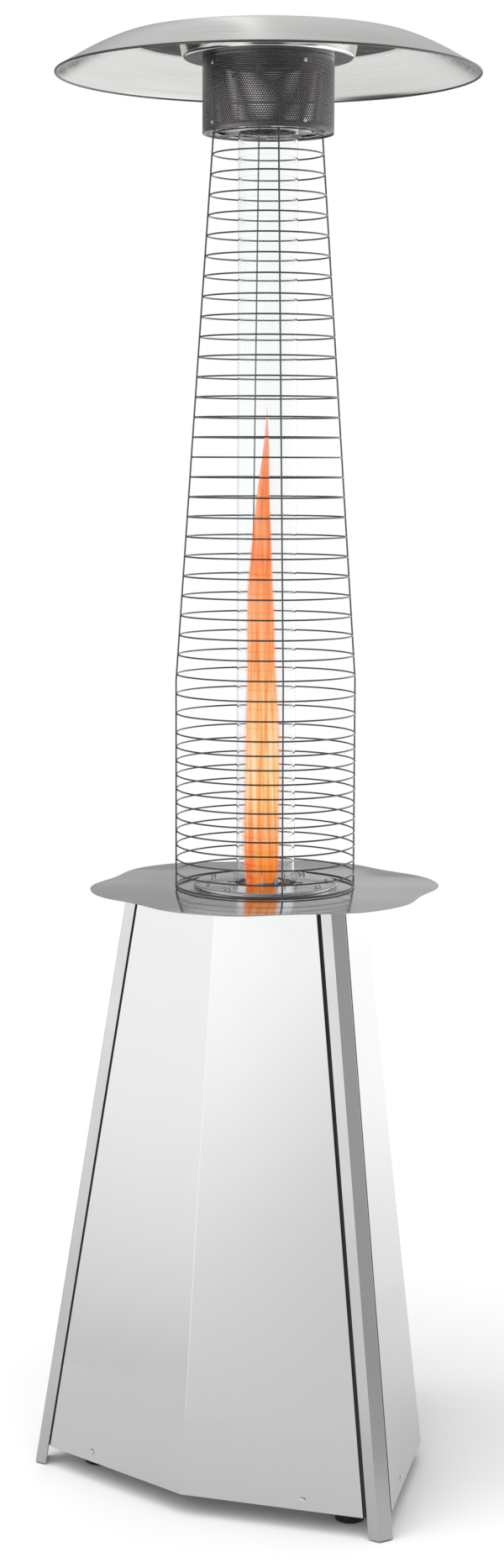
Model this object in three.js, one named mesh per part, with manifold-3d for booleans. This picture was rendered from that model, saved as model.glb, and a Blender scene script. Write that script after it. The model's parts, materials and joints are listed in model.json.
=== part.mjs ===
// A free-standing gas patio heater: a three-cornered sheet-steel base that hides the gas bottle,
// a small round table at waist height, a clear flame tube inside a wire guard, a perforated
// exhaust head and a wide reflector on top.
//
// Millimetres, +Z up. The origin is on the floor, in the middle of the heater's bounding box;
// the flame tube's axis stands AXIS_Y behind it. Bearings are in degrees about that axis, from
// the front (-Y) towards the right (+X).

import * as THREE from 'three';
import { mergeVertices } from 'three/addons/utils/BufferGeometryUtils.js';
import Module from 'manifold-3d';

// ---------------------------------------------------------------- driving dimensions

const GAP = 0.3; // between pieces that touch
const SHEET = 1.5; // general sheet-steel thickness

// base
const POST_FOOT_RADIUS = 403; // outer face of a corner post at floor level
const LEAN = 0.161; // how far posts and panels come in per unit of height
const POST_BEARINGS = { front: 0, right: 120, left: -120 };
const POST_BOTTOM = 3;
const POST_TOP = 1026;
const POST_FACE = 26; // width of a post's outer face
const POST_FLANGE = 20.8; // width of each of its two wings
const POST_FOLD = 60; // how far each wing is folded back
const POST_SHEET = 2;
const SKIN_PROUD = 10; // where two facets would meet, outside the post's face
const CREASE_RATIO = 0.687; // crease radius over that corner radius
const PANEL_EDGE = 28.5; // from a post's middle to the panel edge beside it
const PANEL_RETURN = 10; // folded-in edge of a panel
const PANEL_BOTTOM = 37;
const DOOR_BOTTOM = 42;
const DOOR_TOP = 862;
const FASCIA_BOTTOM = 867;
const BASE_PLATE_Z = 40;
const BASE_PLATE = 3;
const FOOT_RADIUS = 25;
const FOOT_CIRCLE = 290;
const FOOT_PAD = 14;
const TOP_PLATE = 5;

// table and burner
const TABLE_Z = 1033.6; // top face
const TABLE_SHEET = 2;
const TABLE_LOBE = 309;
const TABLE_NOTCH = 287;
const TABLE_LOBES = 6;
const TWIST = -19.8; // bearing of the table's first notch and of the guard's first wire
const BOX_RADIUS = 93.5;
const BOX_BOTTOM = 950;
const BOX_HOLE = 45;
const DECK_RADIUS = 124;
const DECK_Z = 1041;
const DECK_HOLE = 52.5;
const BURNER_RADIUS = 28;
const BURNER_TOP = 1043;

// flame tube and wire guard
const TUBE_RADIUS = 50;
const TUBE_WALL = 2.5;
const TUBE_BOTTOM = 1033.6;
const TUBE_TOP = 2318;
const CAGE_RADIUS = 153;
const CAGE_KNEE = 1390; // where the guard starts to narrow
const CAGE_TOP = 2302;
const CAGE_TOP_RADIUS = 90;
const CAGE_FOOT = 1036.4;
const CAGE_WIRE = 1.5;
const CAGE_WIRES = 4;
const WIRE_OUT = 1.7 * CAGE_WIRE; // how far the upright wires stand outside the rings' middle
const FOOT_RING = 2.2; // half thickness of the stronger bottom ring
const RING_FLATNESS = 0.9;
const CLOSE_RINGS = 11;
const CLOSE_PITCH = 24.1;
const WIDE_RINGS = 30;
const RING_SEGMENTS = 16;

// head and reflector
const HEAD_RADIUS = 110;
const HEAD_BOTTOM = 2302;
const HEAD_TOP = 2424;
const DISH_RADIUS = 152;
const CROWN_Z = 2456;
const CROWN_RADIUS = 235;
const RIM_RADIUS = 355.5;
const RIM_Z = 2400.5;

// controls
const CONTROL_Z = 945;
const CONTROL_OFFSET = 62; // from the crease, along the facet
const KNOB_RADIUS = 19;
const KNOB_TRAVEL = 4;
const STEM_RADIUS = 3.5;
const BUTTON_RADIUS = 7.6;

const AXIS_Y = (POST_FOOT_RADIUS - RIM_RADIUS) / 2; // centres the bounding box on the origin

// ---------------------------------------------------------------- materials

const steel = new THREE.MeshStandardMaterial({ color: 0xb9bbbd, metalness: 1, roughness: 0.35 });
const mirror = new THREE.MeshStandardMaterial({ color: 0xd4d6d8, metalness: 1, roughness: 0.12 });
const inner = new THREE.MeshStandardMaterial({ color: 0x8f9092, metalness: 1, roughness: 0.5 });
const perforated = new THREE.MeshStandardMaterial({ color: 0x6d6a67, metalness: 1, roughness: 0.45 });
const wire = new THREE.MeshStandardMaterial({ color: 0xc8cacc, metalness: 1, roughness: 0.25 });
const black = new THREE.MeshStandardMaterial({ color: 0x18181a, metalness: 0, roughness: 0.6 });
const rubber = new THREE.MeshStandardMaterial({ color: 0x141414, metalness: 0, roughness: 0.85 });
const brass = new THREE.MeshStandardMaterial({ color: 0xb8924a, metalness: 1, roughness: 0.35 });
const ceramic = new THREE.MeshStandardMaterial({ color: 0xe8e4dc, metalness: 0, roughness: 0.4 });
const quartz = new THREE.MeshStandardMaterial({
  color: 0xf2f6f8, metalness: 0, roughness: 0.03, transparent: true, opacity: 0.3,
});

// ---------------------------------------------------------------- geometry helpers

const wasm = await Module();
wasm.setup();

const radians = THREE.MathUtils.degToRad;

/** Unit vector in plan that points along a bearing. */
function heading(bearing) {
  const angle = radians(bearing);
  return new THREE.Vector3(Math.sin(angle), -Math.cos(angle), 0);
}

/** Position-only geometry with shared vertices and outward faces. */
function closed(geometry) {
  const plain = geometry.clone();
  for (const name of Object.keys(plain.attributes)) {
    if (name !== 'position') {
      plain.deleteAttribute(name);
    }
  }
  const merged = mergeVertices(plain, 1e-4);
  const { position } = merged.attributes;
  const source = merged.index.array;
  const kept = [];
  const corner = [0, 1, 2].map(() => new THREE.Vector3());
  let volume = 0;
  for (let i = 0; i < source.length; i += 3) {
    const face = [source[i], source[i + 1], source[i + 2]];
    if (new Set(face).size === 3) {
      face.forEach((vertex, k) => corner[k].fromBufferAttribute(position, vertex));
      volume += corner[0].dot(corner[1].clone().cross(corner[2]));
      kept.push(face);
    }
  }
  if (volume < 0) {
    kept.forEach((face) => face.reverse());
  }
  merged.setIndex(kept.flat());
  return merged;
}

function toSolid(geometry) {
  const mesh = closed(geometry);
  return new wasm.Manifold(new wasm.Mesh({
    numProp: 3,
    vertProperties: new Float32Array(mesh.attributes.position.array),
    triVerts: new Uint32Array(mesh.index.array),
  }));
}

function fromSolid(solid) {
  const mesh = solid.getMesh();
  const geometry = new THREE.BufferGeometry();
  const positions = new Float32Array(mesh.vertProperties);
  geometry.setAttribute('position', new THREE.BufferAttribute(positions, 3));
  geometry.setIndex(new THREE.BufferAttribute(new Uint32Array(mesh.triVerts), 1));
  return geometry;
}

function join(...geometries) {
  return fromSolid(geometries.map(toSolid).reduce((whole, piece) => whole.add(piece)));
}

function cut(geometry, ...tools) {
  return fromSolid(tools.map(toSolid).reduce((whole, tool) => whole.subtract(tool), toSolid(geometry)));
}

/** Box from its centre in plan and its lowest height. */
function block(width, depth, height, x = 0, y = 0, z = 0) {
  return new THREE.BoxGeometry(width, depth, height).translate(x, y, z + height / 2);
}

/** Upright cylinder between two heights. */
function rod(radius, low, high, segments = 16) {
  return new THREE.CylinderGeometry(radius, radius, high - low, segments)
    .rotateX(Math.PI / 2)
    .translate(0, 0, (low + high) / 2);
}

/** Solid of revolution about Z from [radius, height] pairs that start and end on the axis or close. */
function lathe(profile, segments = 24) {
  const points = profile.map(([radius, height]) => new THREE.Vector2(radius, height));
  return new THREE.LatheGeometry(points, segments).rotateX(Math.PI / 2);
}

/** Ring with a rectangular section. */
function ring(inside, outside, low, high, segments = 24) {
  const section = [[inside, low], [outside, low], [outside, high], [inside, high], [inside, low]];
  return lathe(section, segments);
}

/** Flat plate from an outline of Vector2s, with optional round holes of a given radius. */
function plate(outline, low, high, holeRadius = 0) {
  const shape = new THREE.Shape(outline);
  if (holeRadius > 0) {
    shape.holes.push(new THREE.Path().absarc(0, 0, holeRadius, 0, Math.PI * 2, true));
  }
  return new THREE.ExtrudeGeometry(shape, { depth: high - low, bevelEnabled: false, curveSegments: 24 })
    .translate(0, 0, low);
}

/** Solid through a stack of outlines, each an array of Vector3s with the same count. */
function loft(levels) {
  const count = levels[0].length;
  const caps = THREE.ShapeUtils.triangulateShape(levels[0].map((p) => new THREE.Vector2(p.x, p.y)), []);
  const top = (levels.length - 1) * count;
  const faces = caps.flatMap(([a, b, c]) => [a, c, b, a + top, b + top, c + top]);
  for (let level = 0; level < top; level += count) {
    for (let i = 0; i < count; i += 1) {
      const a = level + i;
      const b = level + ((i + 1) % count);
      faces.push(a, b, b + count, a, b + count, a + count);
    }
  }
  const geometry = new THREE.BufferGeometry();
  geometry.setAttribute('position', new THREE.Float32BufferAttribute(
    levels.flat().flatMap((p) => [p.x, p.y, p.z]), 3));
  geometry.setIndex(faces);
  return geometry;
}

/** Round bar along a smooth curve through points. */
function pipe(points, radius, steps, sides = 8) {
  const corners = [];
  for (let i = 0; i < sides; i += 1) {
    const angle = (i / sides) * Math.PI * 2;
    corners.push(new THREE.Vector2(radius * Math.cos(angle), radius * Math.sin(angle)));
  }
  const section = new THREE.Shape(corners);
  const extrudePath = new THREE.CatmullRomCurve3(points.map((p) => new THREE.Vector3(...p)));
  return new THREE.ExtrudeGeometry(section, { steps, extrudePath, bevelEnabled: false });
}

const turned = (geometry, bearing) => geometry.rotateZ(radians(bearing));

// ---------------------------------------------------------------- the scene

const heater = new THREE.Group();
heater.name = 'patio_heater';
const tower = new THREE.Group();
tower.position.set(0, AXIS_Y, 0);
heater.add(tower);

function add(name, geometry, material, parent = tower) {
  const mesh = new THREE.Mesh(closed(geometry), material);
  mesh.name = name;
  parent.add(mesh);
  return mesh;
}

// ---------------------------------------------------------------- base

const skinRadius = (z) => POST_FOOT_RADIUS + SKIN_PROUD - LEAN * z;
const creaseRadius = (z) => CREASE_RATIO * skinRadius(z);

// One facet runs from a crease to the corner 60 degrees away from it.
const crease2 = new THREE.Vector2(0, -CREASE_RATIO);
const corner2 = new THREE.Vector2(Math.sin(radians(60)), -Math.cos(radians(60)));
const facetRun = corner2.clone().sub(crease2);
const FACET_TURN = THREE.MathUtils.radToDeg(Math.atan2(facetRun.y, facetRun.x));
const FACET_DISTANCE = CREASE_RATIO * Math.cos(radians(FACET_TURN)); // per unit of skin radius
const FACET_LEAN = THREE.MathUtils.radToDeg(Math.atan(FACET_DISTANCE * LEAN));

/** Width of a facet at one height, from the crease to the panel's edge. */
function facetWidth(z) {
  const cornerGap = PANEL_EDGE / Math.sin(radians(60)) / CREASE_RATIO * facetRun.length();
  return facetRun.length() * skinRadius(z) - cornerGap;
}

/** Section of a creased panel at one height, facing the front. */
function panelOutline(z) {
  const along = facetRun.clone().normalize();
  const inward = new THREE.Vector2(-along.y, along.x);
  const middle = crease2.clone().multiplyScalar(skinRadius(z));
  const edge = middle.clone().addScaledVector(along, facetWidth(z));
  const lip = edge.clone().addScaledVector(inward, PANEL_RETURN);
  const lipBack = lip.clone().addScaledVector(along, -SHEET);
  const fold = edge.clone().addScaledVector(inward, SHEET).addScaledVector(along, -SHEET);
  const back = middle.clone().add(new THREE.Vector2(0, SHEET / Math.cos(radians(FACET_TURN))));
  const right = [edge, lip, lipBack, fold];
  const left = right.map((p) => new THREE.Vector2(-p.x, p.y)).reverse();
  return [middle, ...right, back, ...left].map((p) => new THREE.Vector3(p.x, p.y, z));
}

const creasedPanel = (low, high) => loft([panelOutline(low), panelOutline(high)]);

/** Group whose Z is a facet's outward normal and whose Y runs up it. */
function facetFrame(bearing, side, offset, z) {
  const normalBearing = bearing + side * FACET_TURN;
  const flat = heading(normalBearing);
  const normal = flat.clone().multiplyScalar(Math.cos(radians(FACET_LEAN)));
  normal.z = Math.sin(radians(FACET_LEAN));
  const across = new THREE.Vector3(-flat.y, flat.x, 0);
  const up = normal.clone().cross(across);
  const origin = heading(bearing).multiplyScalar(creaseRadius(z));
  origin.z = z;
  origin.addScaledVector(across, side * offset);
  const frame = new THREE.Group();
  frame.applyMatrix4(new THREE.Matrix4().makeBasis(across, up, normal).setPosition(origin));
  tower.add(frame);
  return frame;
}

function postOutline(z) {
  const half = POST_FACE / 2;
  const fold = radians(POST_FOLD);
  const radius = POST_FOOT_RADIUS - LEAN * z;
  const reach = new THREE.Vector2(Math.cos(fold), Math.sin(fold)).multiplyScalar(POST_FLANGE);
  const inset = POST_SHEET * Math.tan(fold / 2);
  const outerEnd = new THREE.Vector2(half + reach.x, -radius + reach.y);
  const innerEnd = new THREE.Vector2(outerEnd.x - POST_SHEET * Math.sin(fold),
    outerEnd.y + POST_SHEET * Math.cos(fold));
  const right = [new THREE.Vector2(half, -radius), outerEnd, innerEnd,
    new THREE.Vector2(half - inset, -radius + POST_SHEET)];
  const left = right.map((p) => new THREE.Vector2(-p.x, p.y)).reverse();
  return [...right, ...left].map((p) => new THREE.Vector3(p.x, p.y, z));
}

function basePlate() {
  const tongue = POST_FOOT_RADIUS - LEAN * (BASE_PLATE_Z + BASE_PLATE) - POST_SHEET - 2 * GAP;
  const tongueHalf = 10;
  const shoulder = new THREE.Vector2(31, -349);
  const waist = creaseRadius(BASE_PLATE_Z) - 17;
  const outline = [];
  for (const bearing of [0, 120, 240]) {
    const corner = [
      new THREE.Vector2(-shoulder.x, shoulder.y), new THREE.Vector2(-tongueHalf, shoulder.y),
      new THREE.Vector2(-tongueHalf, -tongue), new THREE.Vector2(tongueHalf, -tongue),
      new THREE.Vector2(tongueHalf, shoulder.y), shoulder.clone(),
      new THREE.Vector2(waist * Math.sin(radians(60)), -waist * Math.cos(radians(60))),
    ];
    outline.push(...corner.map((p) => p.rotateAround(new THREE.Vector2(), radians(bearing))));
  }
  const top = BASE_PLATE_Z + BASE_PLATE;
  const bottleTabs = [30, 150, 270].map((bearing) => turned(
    block(34, 3, 14 + 1, 0, -162, top - 1), bearing));
  return join(plate(outline, BASE_PLATE_Z, top), ...bottleTabs);
}

function topPlate() {
  const cornerReach = POST_FOOT_RADIUS - LEAN * POST_TOP - 2;
  const waist = creaseRadius(POST_TOP) - 2;
  const outline = [];
  for (const bearing of [0, 120, 240]) {
    const corner = [
      new THREE.Vector2(-14, -cornerReach), new THREE.Vector2(14, -cornerReach),
      new THREE.Vector2(waist * Math.sin(radians(60)), -waist * Math.cos(radians(60))),
    ];
    outline.push(...corner.map((p) => p.rotateAround(new THREE.Vector2(), radians(bearing))));
  }
  return plate(outline, POST_TOP + GAP, POST_TOP + GAP + TOP_PLATE, BOX_RADIUS + 4);
}

function foot() {
  const neck = 11;
  return lathe([
    [0, 0], [FOOT_RADIUS - 3, 0], [FOOT_RADIUS, 3], [FOOT_RADIUS, FOOT_PAD - 2],
    [FOOT_RADIUS - 2, FOOT_PAD], [neck, FOOT_PAD + 4], [neck, BASE_PLATE_Z - GAP], [0, BASE_PLATE_Z - GAP],
  ], 20);
}

add('base_plate', basePlate(), inner);
for (const [side, bearing] of Object.entries(POST_BEARINGS)) {
  const post = loft([postOutline(POST_BOTTOM), postOutline(POST_TOP)]);
  add(`corner_post_${side}`, turned(post, bearing), steel);
  add(`foot_${side}`, turned(foot().translate(0, -FOOT_CIRCLE, 0), bearing), rubber);
}
add('panel_left', turned(creasedPanel(PANEL_BOTTOM, POST_TOP), -60), mirror);
add('panel_right', turned(creasedPanel(PANEL_BOTTOM, POST_TOP), 60), mirror);
add('top_plate', topPlate(), inner);

// ---------------------------------------------------------------- rear door, hinged on the left post

const REAR = 180;
const HINGE_RADIUS = 4.2;
const PIN_RADIUS = 1.9;
const HINGE_LENGTH = 46;
const HINGE_HEIGHTS = { lower: 170, upper: 730 };
const HINGE_OUT = 4.6; // pin axis outside the door's face
const HINGE_ASIDE = 3.2; // pin axis beyond the door's edge

add('rear_door', turned(creasedPanel(DOOR_BOTTOM, DOOR_TOP), REAR), mirror);

/** Group on the door's hinged edge: Z up along it, Y out of the door, X across the door. */
function hingeFrame(z) {
  const post = heading(POST_BEARINGS.left);
  const edgeUp = new THREE.Vector3(-LEAN * post.x, -LEAN * post.y, 1).normalize();
  const flat = heading(REAR + FACET_TURN);
  const normal = flat.clone().multiplyScalar(Math.cos(radians(FACET_LEAN)));
  normal.z = Math.sin(radians(FACET_LEAN));
  const across = normal.clone().cross(edgeUp);
  const [, edge] = panelOutline(z);
  const origin = edge.applyAxisAngle(new THREE.Vector3(0, 0, 1), radians(REAR));
  const frame = new THREE.Group();
  frame.applyMatrix4(new THREE.Matrix4().makeBasis(across, normal, edgeUp).setPosition(origin));
  tower.add(frame);
  return frame;
}

function hingeBarrel() {
  const half = HINGE_LENGTH / 2;
  const barrel = cut(rod(HINGE_RADIUS, -half, 0, 12), rod(PIN_RADIUS + GAP, -half - 1, 1, 12));
  const leaf = block(11, 1.6, half, -HINGE_RADIUS - 4, 0, -half);
  return join(barrel, leaf).translate(-HINGE_ASIDE, HINGE_OUT, 0);
}

function hingePin() {
  const half = HINGE_LENGTH / 2;
  const upper = rod(HINGE_RADIUS, 2 * GAP, half, 12);
  const pin = rod(PIN_RADIUS, -half - 1, half - 1, 12);
  const leaf = block(24, 1.6, half - 2 * GAP, 14, 0, 2 * GAP);
  leaf.translate(0, -HINGE_OUT + GAP + 0.8, 0);
  const strap = block(5, HINGE_OUT, half - 2 * GAP, 3.2, -1.3, 2 * GAP);
  return join(upper, pin, strap, leaf).translate(-HINGE_ASIDE, HINGE_OUT, 0);
}

for (const [level, z] of Object.entries(HINGE_HEIGHTS)) {
  const frame = hingeFrame(z);
  add(`hinge_barrel_${level}`, hingeBarrel(), steel, frame);
  add(`hinge_pin_${level}`, hingePin(), steel, frame);
}

function bowHandle() {
  const half = 45;
  const points = [[0, -half, GAP], [0, -half, 16], [0, -half + 10, 24], [0, 0, 26],
    [0, half - 10, 24], [0, half, 16], [0, half, GAP]];
  return pipe(points, 4, 20);
}

/** Magnet behind the door's free edge, on a bracket that meets the post's wing. */
function doorMagnet() {
  const depth = PANEL_RETURN + GAP;
  const magnet = block(22, 40, 9, -8, 0, -depth - 9);
  const bracket = block(11, 40, 14.4, -13.5, 0, -depth - 8.7);
  return join(magnet, bracket);
}

const HANDLE_Z = 540;
const HANDLE_FROM_EDGE = 37;
const freeEdge = facetWidth(HANDLE_Z);
add('door_handle', bowHandle(), steel, facetFrame(REAR, -1, freeEdge - HANDLE_FROM_EDGE, HANDLE_Z));
add('door_magnet', doorMagnet(), black, facetFrame(REAR, -1, freeEdge, HANDLE_Z));

// ---------------------------------------------------------------- controls on the rear fascia

const knobPlace = facetFrame(REAR, -1, CONTROL_OFFSET, CONTROL_Z);
const buttonPlace = facetFrame(REAR, 1, CONTROL_OFFSET, CONTROL_Z);
const BUSH_RADIUS = 6;
const BEZEL_NECK = 9.6;

function fascia() {
  const panel = turned(creasedPanel(FASCIA_BOTTOM, POST_TOP), REAR);
  const holes = [[knobPlace, BUSH_RADIUS + 1], [buttonPlace, BEZEL_NECK + GAP]].map(
    ([frame, radius]) => rod(radius, -20, 20, 20).applyMatrix4(frame.matrix));
  return cut(panel, ...holes);
}

function gasValve() {
  const body = block(30, 40, 34, 0, 0, -SHEET - GAP - 34);
  const bush = rod(BUSH_RADIUS, -SHEET - GAP - 1, 1, 16);
  const outlet = block(16, 16, 12, 0, 0, -SHEET - GAP - 45);
  return cut(join(body, bush, outlet), rod(STEM_RADIUS + GAP, -26, 5, 16));
}

function valveStem() {
  return rod(STEM_RADIUS, -18, 17, 16);
}

function controlKnob() {
  const low = KNOB_TRAVEL + 2;
  const high = low + 18;
  const body = lathe([[0, low], [KNOB_RADIUS, low], [KNOB_RADIUS, low + 5], [KNOB_RADIUS - 2, high - 2],
    [KNOB_RADIUS - 4, high], [0, high]], 24);
  const grip = block(7, 34, 7, 0, 0, high - 1);
  return cut(join(body, grip), rod(STEM_RADIUS + GAP, low - 1, 17 + GAP, 16));
}

function igniterBody() {
  const outside = [
    [0, -42], [BEZEL_NECK, -42], [BEZEL_NECK, GAP], [13, GAP], [13, 2], [11.5, 3.2], [0, 3.2],
  ];
  return cut(lathe(outside, 20), rod(BUTTON_RADIUS + GAP, -18, 5, 20));
}

add('control_fascia', fascia(), mirror);
add('gas_valve', gasValve(), brass, knobPlace);
add('valve_stem', valveStem(), steel, knobPlace);
add('control_knob', controlKnob(), black, knobPlace);
add('igniter_body', igniterBody(), black, buttonPlace);
add('igniter_button', rod(BUTTON_RADIUS, -12, 8.2, 20), rubber, buttonPlace);

function gasInlet() {
  const barbs = [[0, 0], [5.6, 0], [5.6, -7], [4, -9]];
  for (let turn = 0; turn < 3; turn += 1) {
    const z = -11 - turn * 6;
    barbs.push([4.8, z], [3.6, z - 5]);
  }
  const foot = barbs[barbs.length - 1][1] - 1;
  barbs.push([3.4, foot], [0, foot]);
  return lathe(barbs, 12);
}

// The inlet hangs under the valve, the tilt switch beside it.
const inletFrame = new THREE.Group();
inletFrame.position.set(0, -20 - GAP, -SHEET - GAP - 17);
inletFrame.rotation.x = -Math.PI / 2;
knobPlace.add(inletFrame);
add('gas_inlet', gasInlet(), brass, inletFrame);
add('tilt_switch', block(22, 34, 20, 48, 4, -SHEET - GAP - 20), black, knobPlace);

// ---------------------------------------------------------------- table

function tableOutline() {
  const steps = 12 * TABLE_LOBES;
  const outline = [];
  for (let i = 0; i < steps; i += 1) {
    const bearing = TWIST + (i / steps) * 360;
    const notch = Math.pow((1 + Math.cos((i / steps) * TABLE_LOBES * Math.PI * 2)) / 2, 1.5);
    const radius = TABLE_LOBE - (TABLE_LOBE - TABLE_NOTCH) * notch;
    const point = heading(bearing).multiplyScalar(radius);
    outline.push(new THREE.Vector2(point.x, point.y));
  }
  return outline;
}

add('table_top', plate(tableOutline(), TABLE_Z - TABLE_SHEET, TABLE_Z, BOX_RADIUS + 3), steel);

// ---------------------------------------------------------------- burner

function burnerBox() {
  const flange = TABLE_Z + GAP;
  const wall = BOX_RADIUS - SHEET;
  return lathe([
    [BOX_HOLE, BOX_BOTTOM], [BOX_RADIUS, BOX_BOTTOM], [BOX_RADIUS, flange],
    [BOX_RADIUS + 18, flange], [BOX_RADIUS + 18, flange + SHEET], [wall, flange + SHEET],
    [wall, BOX_BOTTOM + SHEET], [BOX_HOLE, BOX_BOTTOM + SHEET], [BOX_HOLE, BOX_BOTTOM],
  ], 32);
}

function burnerDeck() {
  const skirt = TABLE_Z + GAP;
  return lathe([
    [DECK_HOLE, DECK_Z - SHEET], [DECK_RADIUS - SHEET, DECK_Z - SHEET], [DECK_RADIUS - SHEET, skirt],
    [DECK_RADIUS, skirt], [DECK_RADIUS, DECK_Z - 2], [DECK_RADIUS - 2, DECK_Z], [DECK_HOLE, DECK_Z],
    [DECK_HOLE, DECK_Z - SHEET],
  ], 40);
}

const NECK_RADIUS = 12;
const SEAT_HOLE = 43;
const HEAD_FLOOR = 1004;

function burnerHead() {
  const cup = lathe([
    [NECK_RADIUS - 2, HEAD_FLOOR - 4], [NECK_RADIUS, HEAD_FLOOR - 4], [NECK_RADIUS, HEAD_FLOOR],
    [BURNER_RADIUS, HEAD_FLOOR + 8], [BURNER_RADIUS, BURNER_TOP], [0, BURNER_TOP],
    [0, BURNER_TOP - 2], [BURNER_RADIUS - 2, BURNER_TOP - 2], [BURNER_RADIUS - 2, HEAD_FLOOR + 9],
    [NECK_RADIUS - 2, HEAD_FLOOR + 1], [NECK_RADIUS - 2, HEAD_FLOOR - 4],
  ], 16);
  const ports = [];
  for (let i = 0; i < 12; i += 1) {
    const port = rod(2, BURNER_TOP - 5, BURNER_TOP + 5, 6).translate(0, -20, 0);
    ports.push(turned(port, i * 30));
  }
  return cut(cup, ...ports);
}

function venturi() {
  const top = HEAD_FLOOR - 4 - GAP;
  const tube = lathe([
    [6, 942], [12, 942], [12, 960], [9, 972], [NECK_RADIUS, top], [NECK_RADIUS - 2, top],
    [7, 972], [8.5, 960], [8.5, 945], [6, 945], [6, 942],
  ], 12);
  const airHoles = [0, 90].map((bearing) => turned(
    rod(4, -20, 20, 10).rotateX(Math.PI / 2).translate(0, 0, 953), bearing));
  return cut(tube, ...airHoles);
}

function burnerBracket() {
  const reach = BOX_RADIUS - SHEET - 5;
  return cut(block(2 * reach, 36, 2, 0, 0, 986), rod(NECK_RADIUS + GAP, 980, 992, 16));
}

function injector() {
  const body = lathe([[0, 924], [8, 924], [8, 934], [5, 936], [5, 941.6], [0, 941.6]], 12);
  return cut(body, rod(1.5, 930, 945, 8));
}

/** Small upright fitting beside the burner. */
function beside(geometry, bearing) {
  return turned(geometry.translate(0, -(BURNER_RADIUS + SEAT_HOLE) / 2, 0), bearing);
}

add('burner_box', burnerBox(), inner);
add('burner_deck', burnerDeck(), steel);
add('burner_head', burnerHead(), inner);
add('venturi', venturi(), inner);
add('burner_bracket', burnerBracket(), inner);
add('injector', injector(), brass);
add('pilot_burner', beside(join(rod(4, 975, 1050, 12), rod(2.5, 1049, 1054, 8)), 0), inner);
add('thermocouple', beside(join(rod(3, 985, 1030, 10), rod(1.6, 1029, 1058, 8)), 40), inner);
add('spark_electrode', beside(join(rod(3.4, 985, 1040, 10), rod(1.2, 1039, 1056, 8)), -40), ceramic);

// The gas pipe starts behind the valve, drops and comes up under the injector.
const valveBack = new THREE.Vector3(0, 0, -SHEET - GAP - 46).applyMatrix4(knobPlace.matrix);
const valveAway = new THREE.Vector3(0, 0, -SHEET - GAP - 66).applyMatrix4(knobPlace.matrix);
add('gas_pipe', pipe([
  valveBack.toArray(), valveAway.toArray(), [10, 80, 915], [2, 30, 900], [0, 4, 905], [0, 0, 914],
  [0, 0, 923.5],
], 4, 20, 6), brass);

// ---------------------------------------------------------------- flame tube

const GASKET = 3;

/** Ledge inside the burner box that the tube stands on, with a lip that centres it. */
function tubeSeat() {
  const top = TUBE_BOTTOM - 2 * GAP - GASKET;
  const lip = TUBE_RADIUS + 1;
  const reach = BOX_RADIUS - SHEET - 1;
  return lathe([
    [SEAT_HOLE, top - SHEET], [reach, top - SHEET], [reach, top], [lip + SHEET, top],
    [lip + SHEET, TUBE_BOTTOM + 3], [lip, TUBE_BOTTOM + 3], [lip, top], [SEAT_HOLE, top],
    [SEAT_HOLE, top - SHEET],
  ], 32);
}

function tubeGasket() {
  const top = TUBE_BOTTOM - GAP;
  return ring(TUBE_RADIUS - 6, TUBE_RADIUS, top - GASKET, top, 24);
}

/** Small bracket on the deck that steadies the foot of the tube. */
function tubeClip() {
  const inside = TUBE_RADIUS + 3;
  const low = DECK_Z + GAP;
  const upright = block(10, 1.6, 17, 0, -inside - 0.8, low);
  const toe = block(10, 12, 1.6, 0, -inside - 6, low);
  const tip = block(10, 3.6, 1.6, 0, -inside + 0.6, low + 15.4);
  return join(upright, toe, tip);
}

add('tube_seat', tubeSeat(), inner);
add('tube_gasket', tubeGasket(), rubber);
add('glass_tube', ring(TUBE_RADIUS - TUBE_WALL, TUBE_RADIUS, TUBE_BOTTOM, TUBE_TOP, 36), quartz);
add('tube_clip_right', turned(tubeClip(), TWIST + 75), steel);
add('tube_clip_left', turned(tubeClip(), TWIST - 105), steel);

// ---------------------------------------------------------------- wire guard

function guardRadius(z) {
  const fall = Math.max(0, z - CAGE_KNEE) / (CAGE_TOP - CAGE_KNEE);
  return CAGE_RADIUS - (CAGE_RADIUS - CAGE_TOP_RADIUS) * fall;
}

/** Ring with a flat three-cornered section, thickness is its reach either way. */
function guardRing(z, thickness) {
  const inside = guardRadius(z) - thickness;
  const outside = guardRadius(z) + thickness;
  const half = RING_FLATNESS * thickness;
  const section = [[inside, z - half], [outside, z], [inside, z + half], [inside, z - half]];
  return turned(lathe(section, RING_SEGMENTS), TWIST);
}

/** Upright wire on the outside of the rings, bent at the knee. */
function guardWire() {
  const half = CAGE_WIRE;
  const section = [[-half, -half], [half, -half], [half, half], [-half, half]];
  const heights = [CAGE_FOOT - 1, CAGE_KNEE, CAGE_TOP + 1];
  return loft(heights.map((z) => section.map(
    ([x, y]) => new THREE.Vector3(x, y - guardRadius(z) - WIRE_OUT, z))));
}

function guard() {
  const closeStart = CAGE_FOOT - 1.4;
  const closeTop = closeStart + CLOSE_RINGS * CLOSE_PITCH;
  const widePitch = (CAGE_TOP - closeTop) / WIDE_RINGS;
  const pieces = [guardRing(CAGE_FOOT, FOOT_RING)];
  for (let i = 1; i <= CLOSE_RINGS; i += 1) {
    pieces.push(guardRing(closeStart + i * CLOSE_PITCH, CAGE_WIRE));
  }
  for (let i = 1; i <= WIDE_RINGS; i += 1) {
    pieces.push(guardRing(closeTop + i * widePitch, CAGE_WIRE));
  }
  for (let i = 0; i < CAGE_WIRES; i += 1) {
    pieces.push(turned(guardWire(), TWIST + (i * 360) / CAGE_WIRES));
  }
  return join(...pieces);
}

add('wire_guard', guard(), wire);

// ---------------------------------------------------------------- exhaust head

const HEAD_PLATE_Z = CAGE_TOP + CAGE_WIRE + 2 * GAP;

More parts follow.
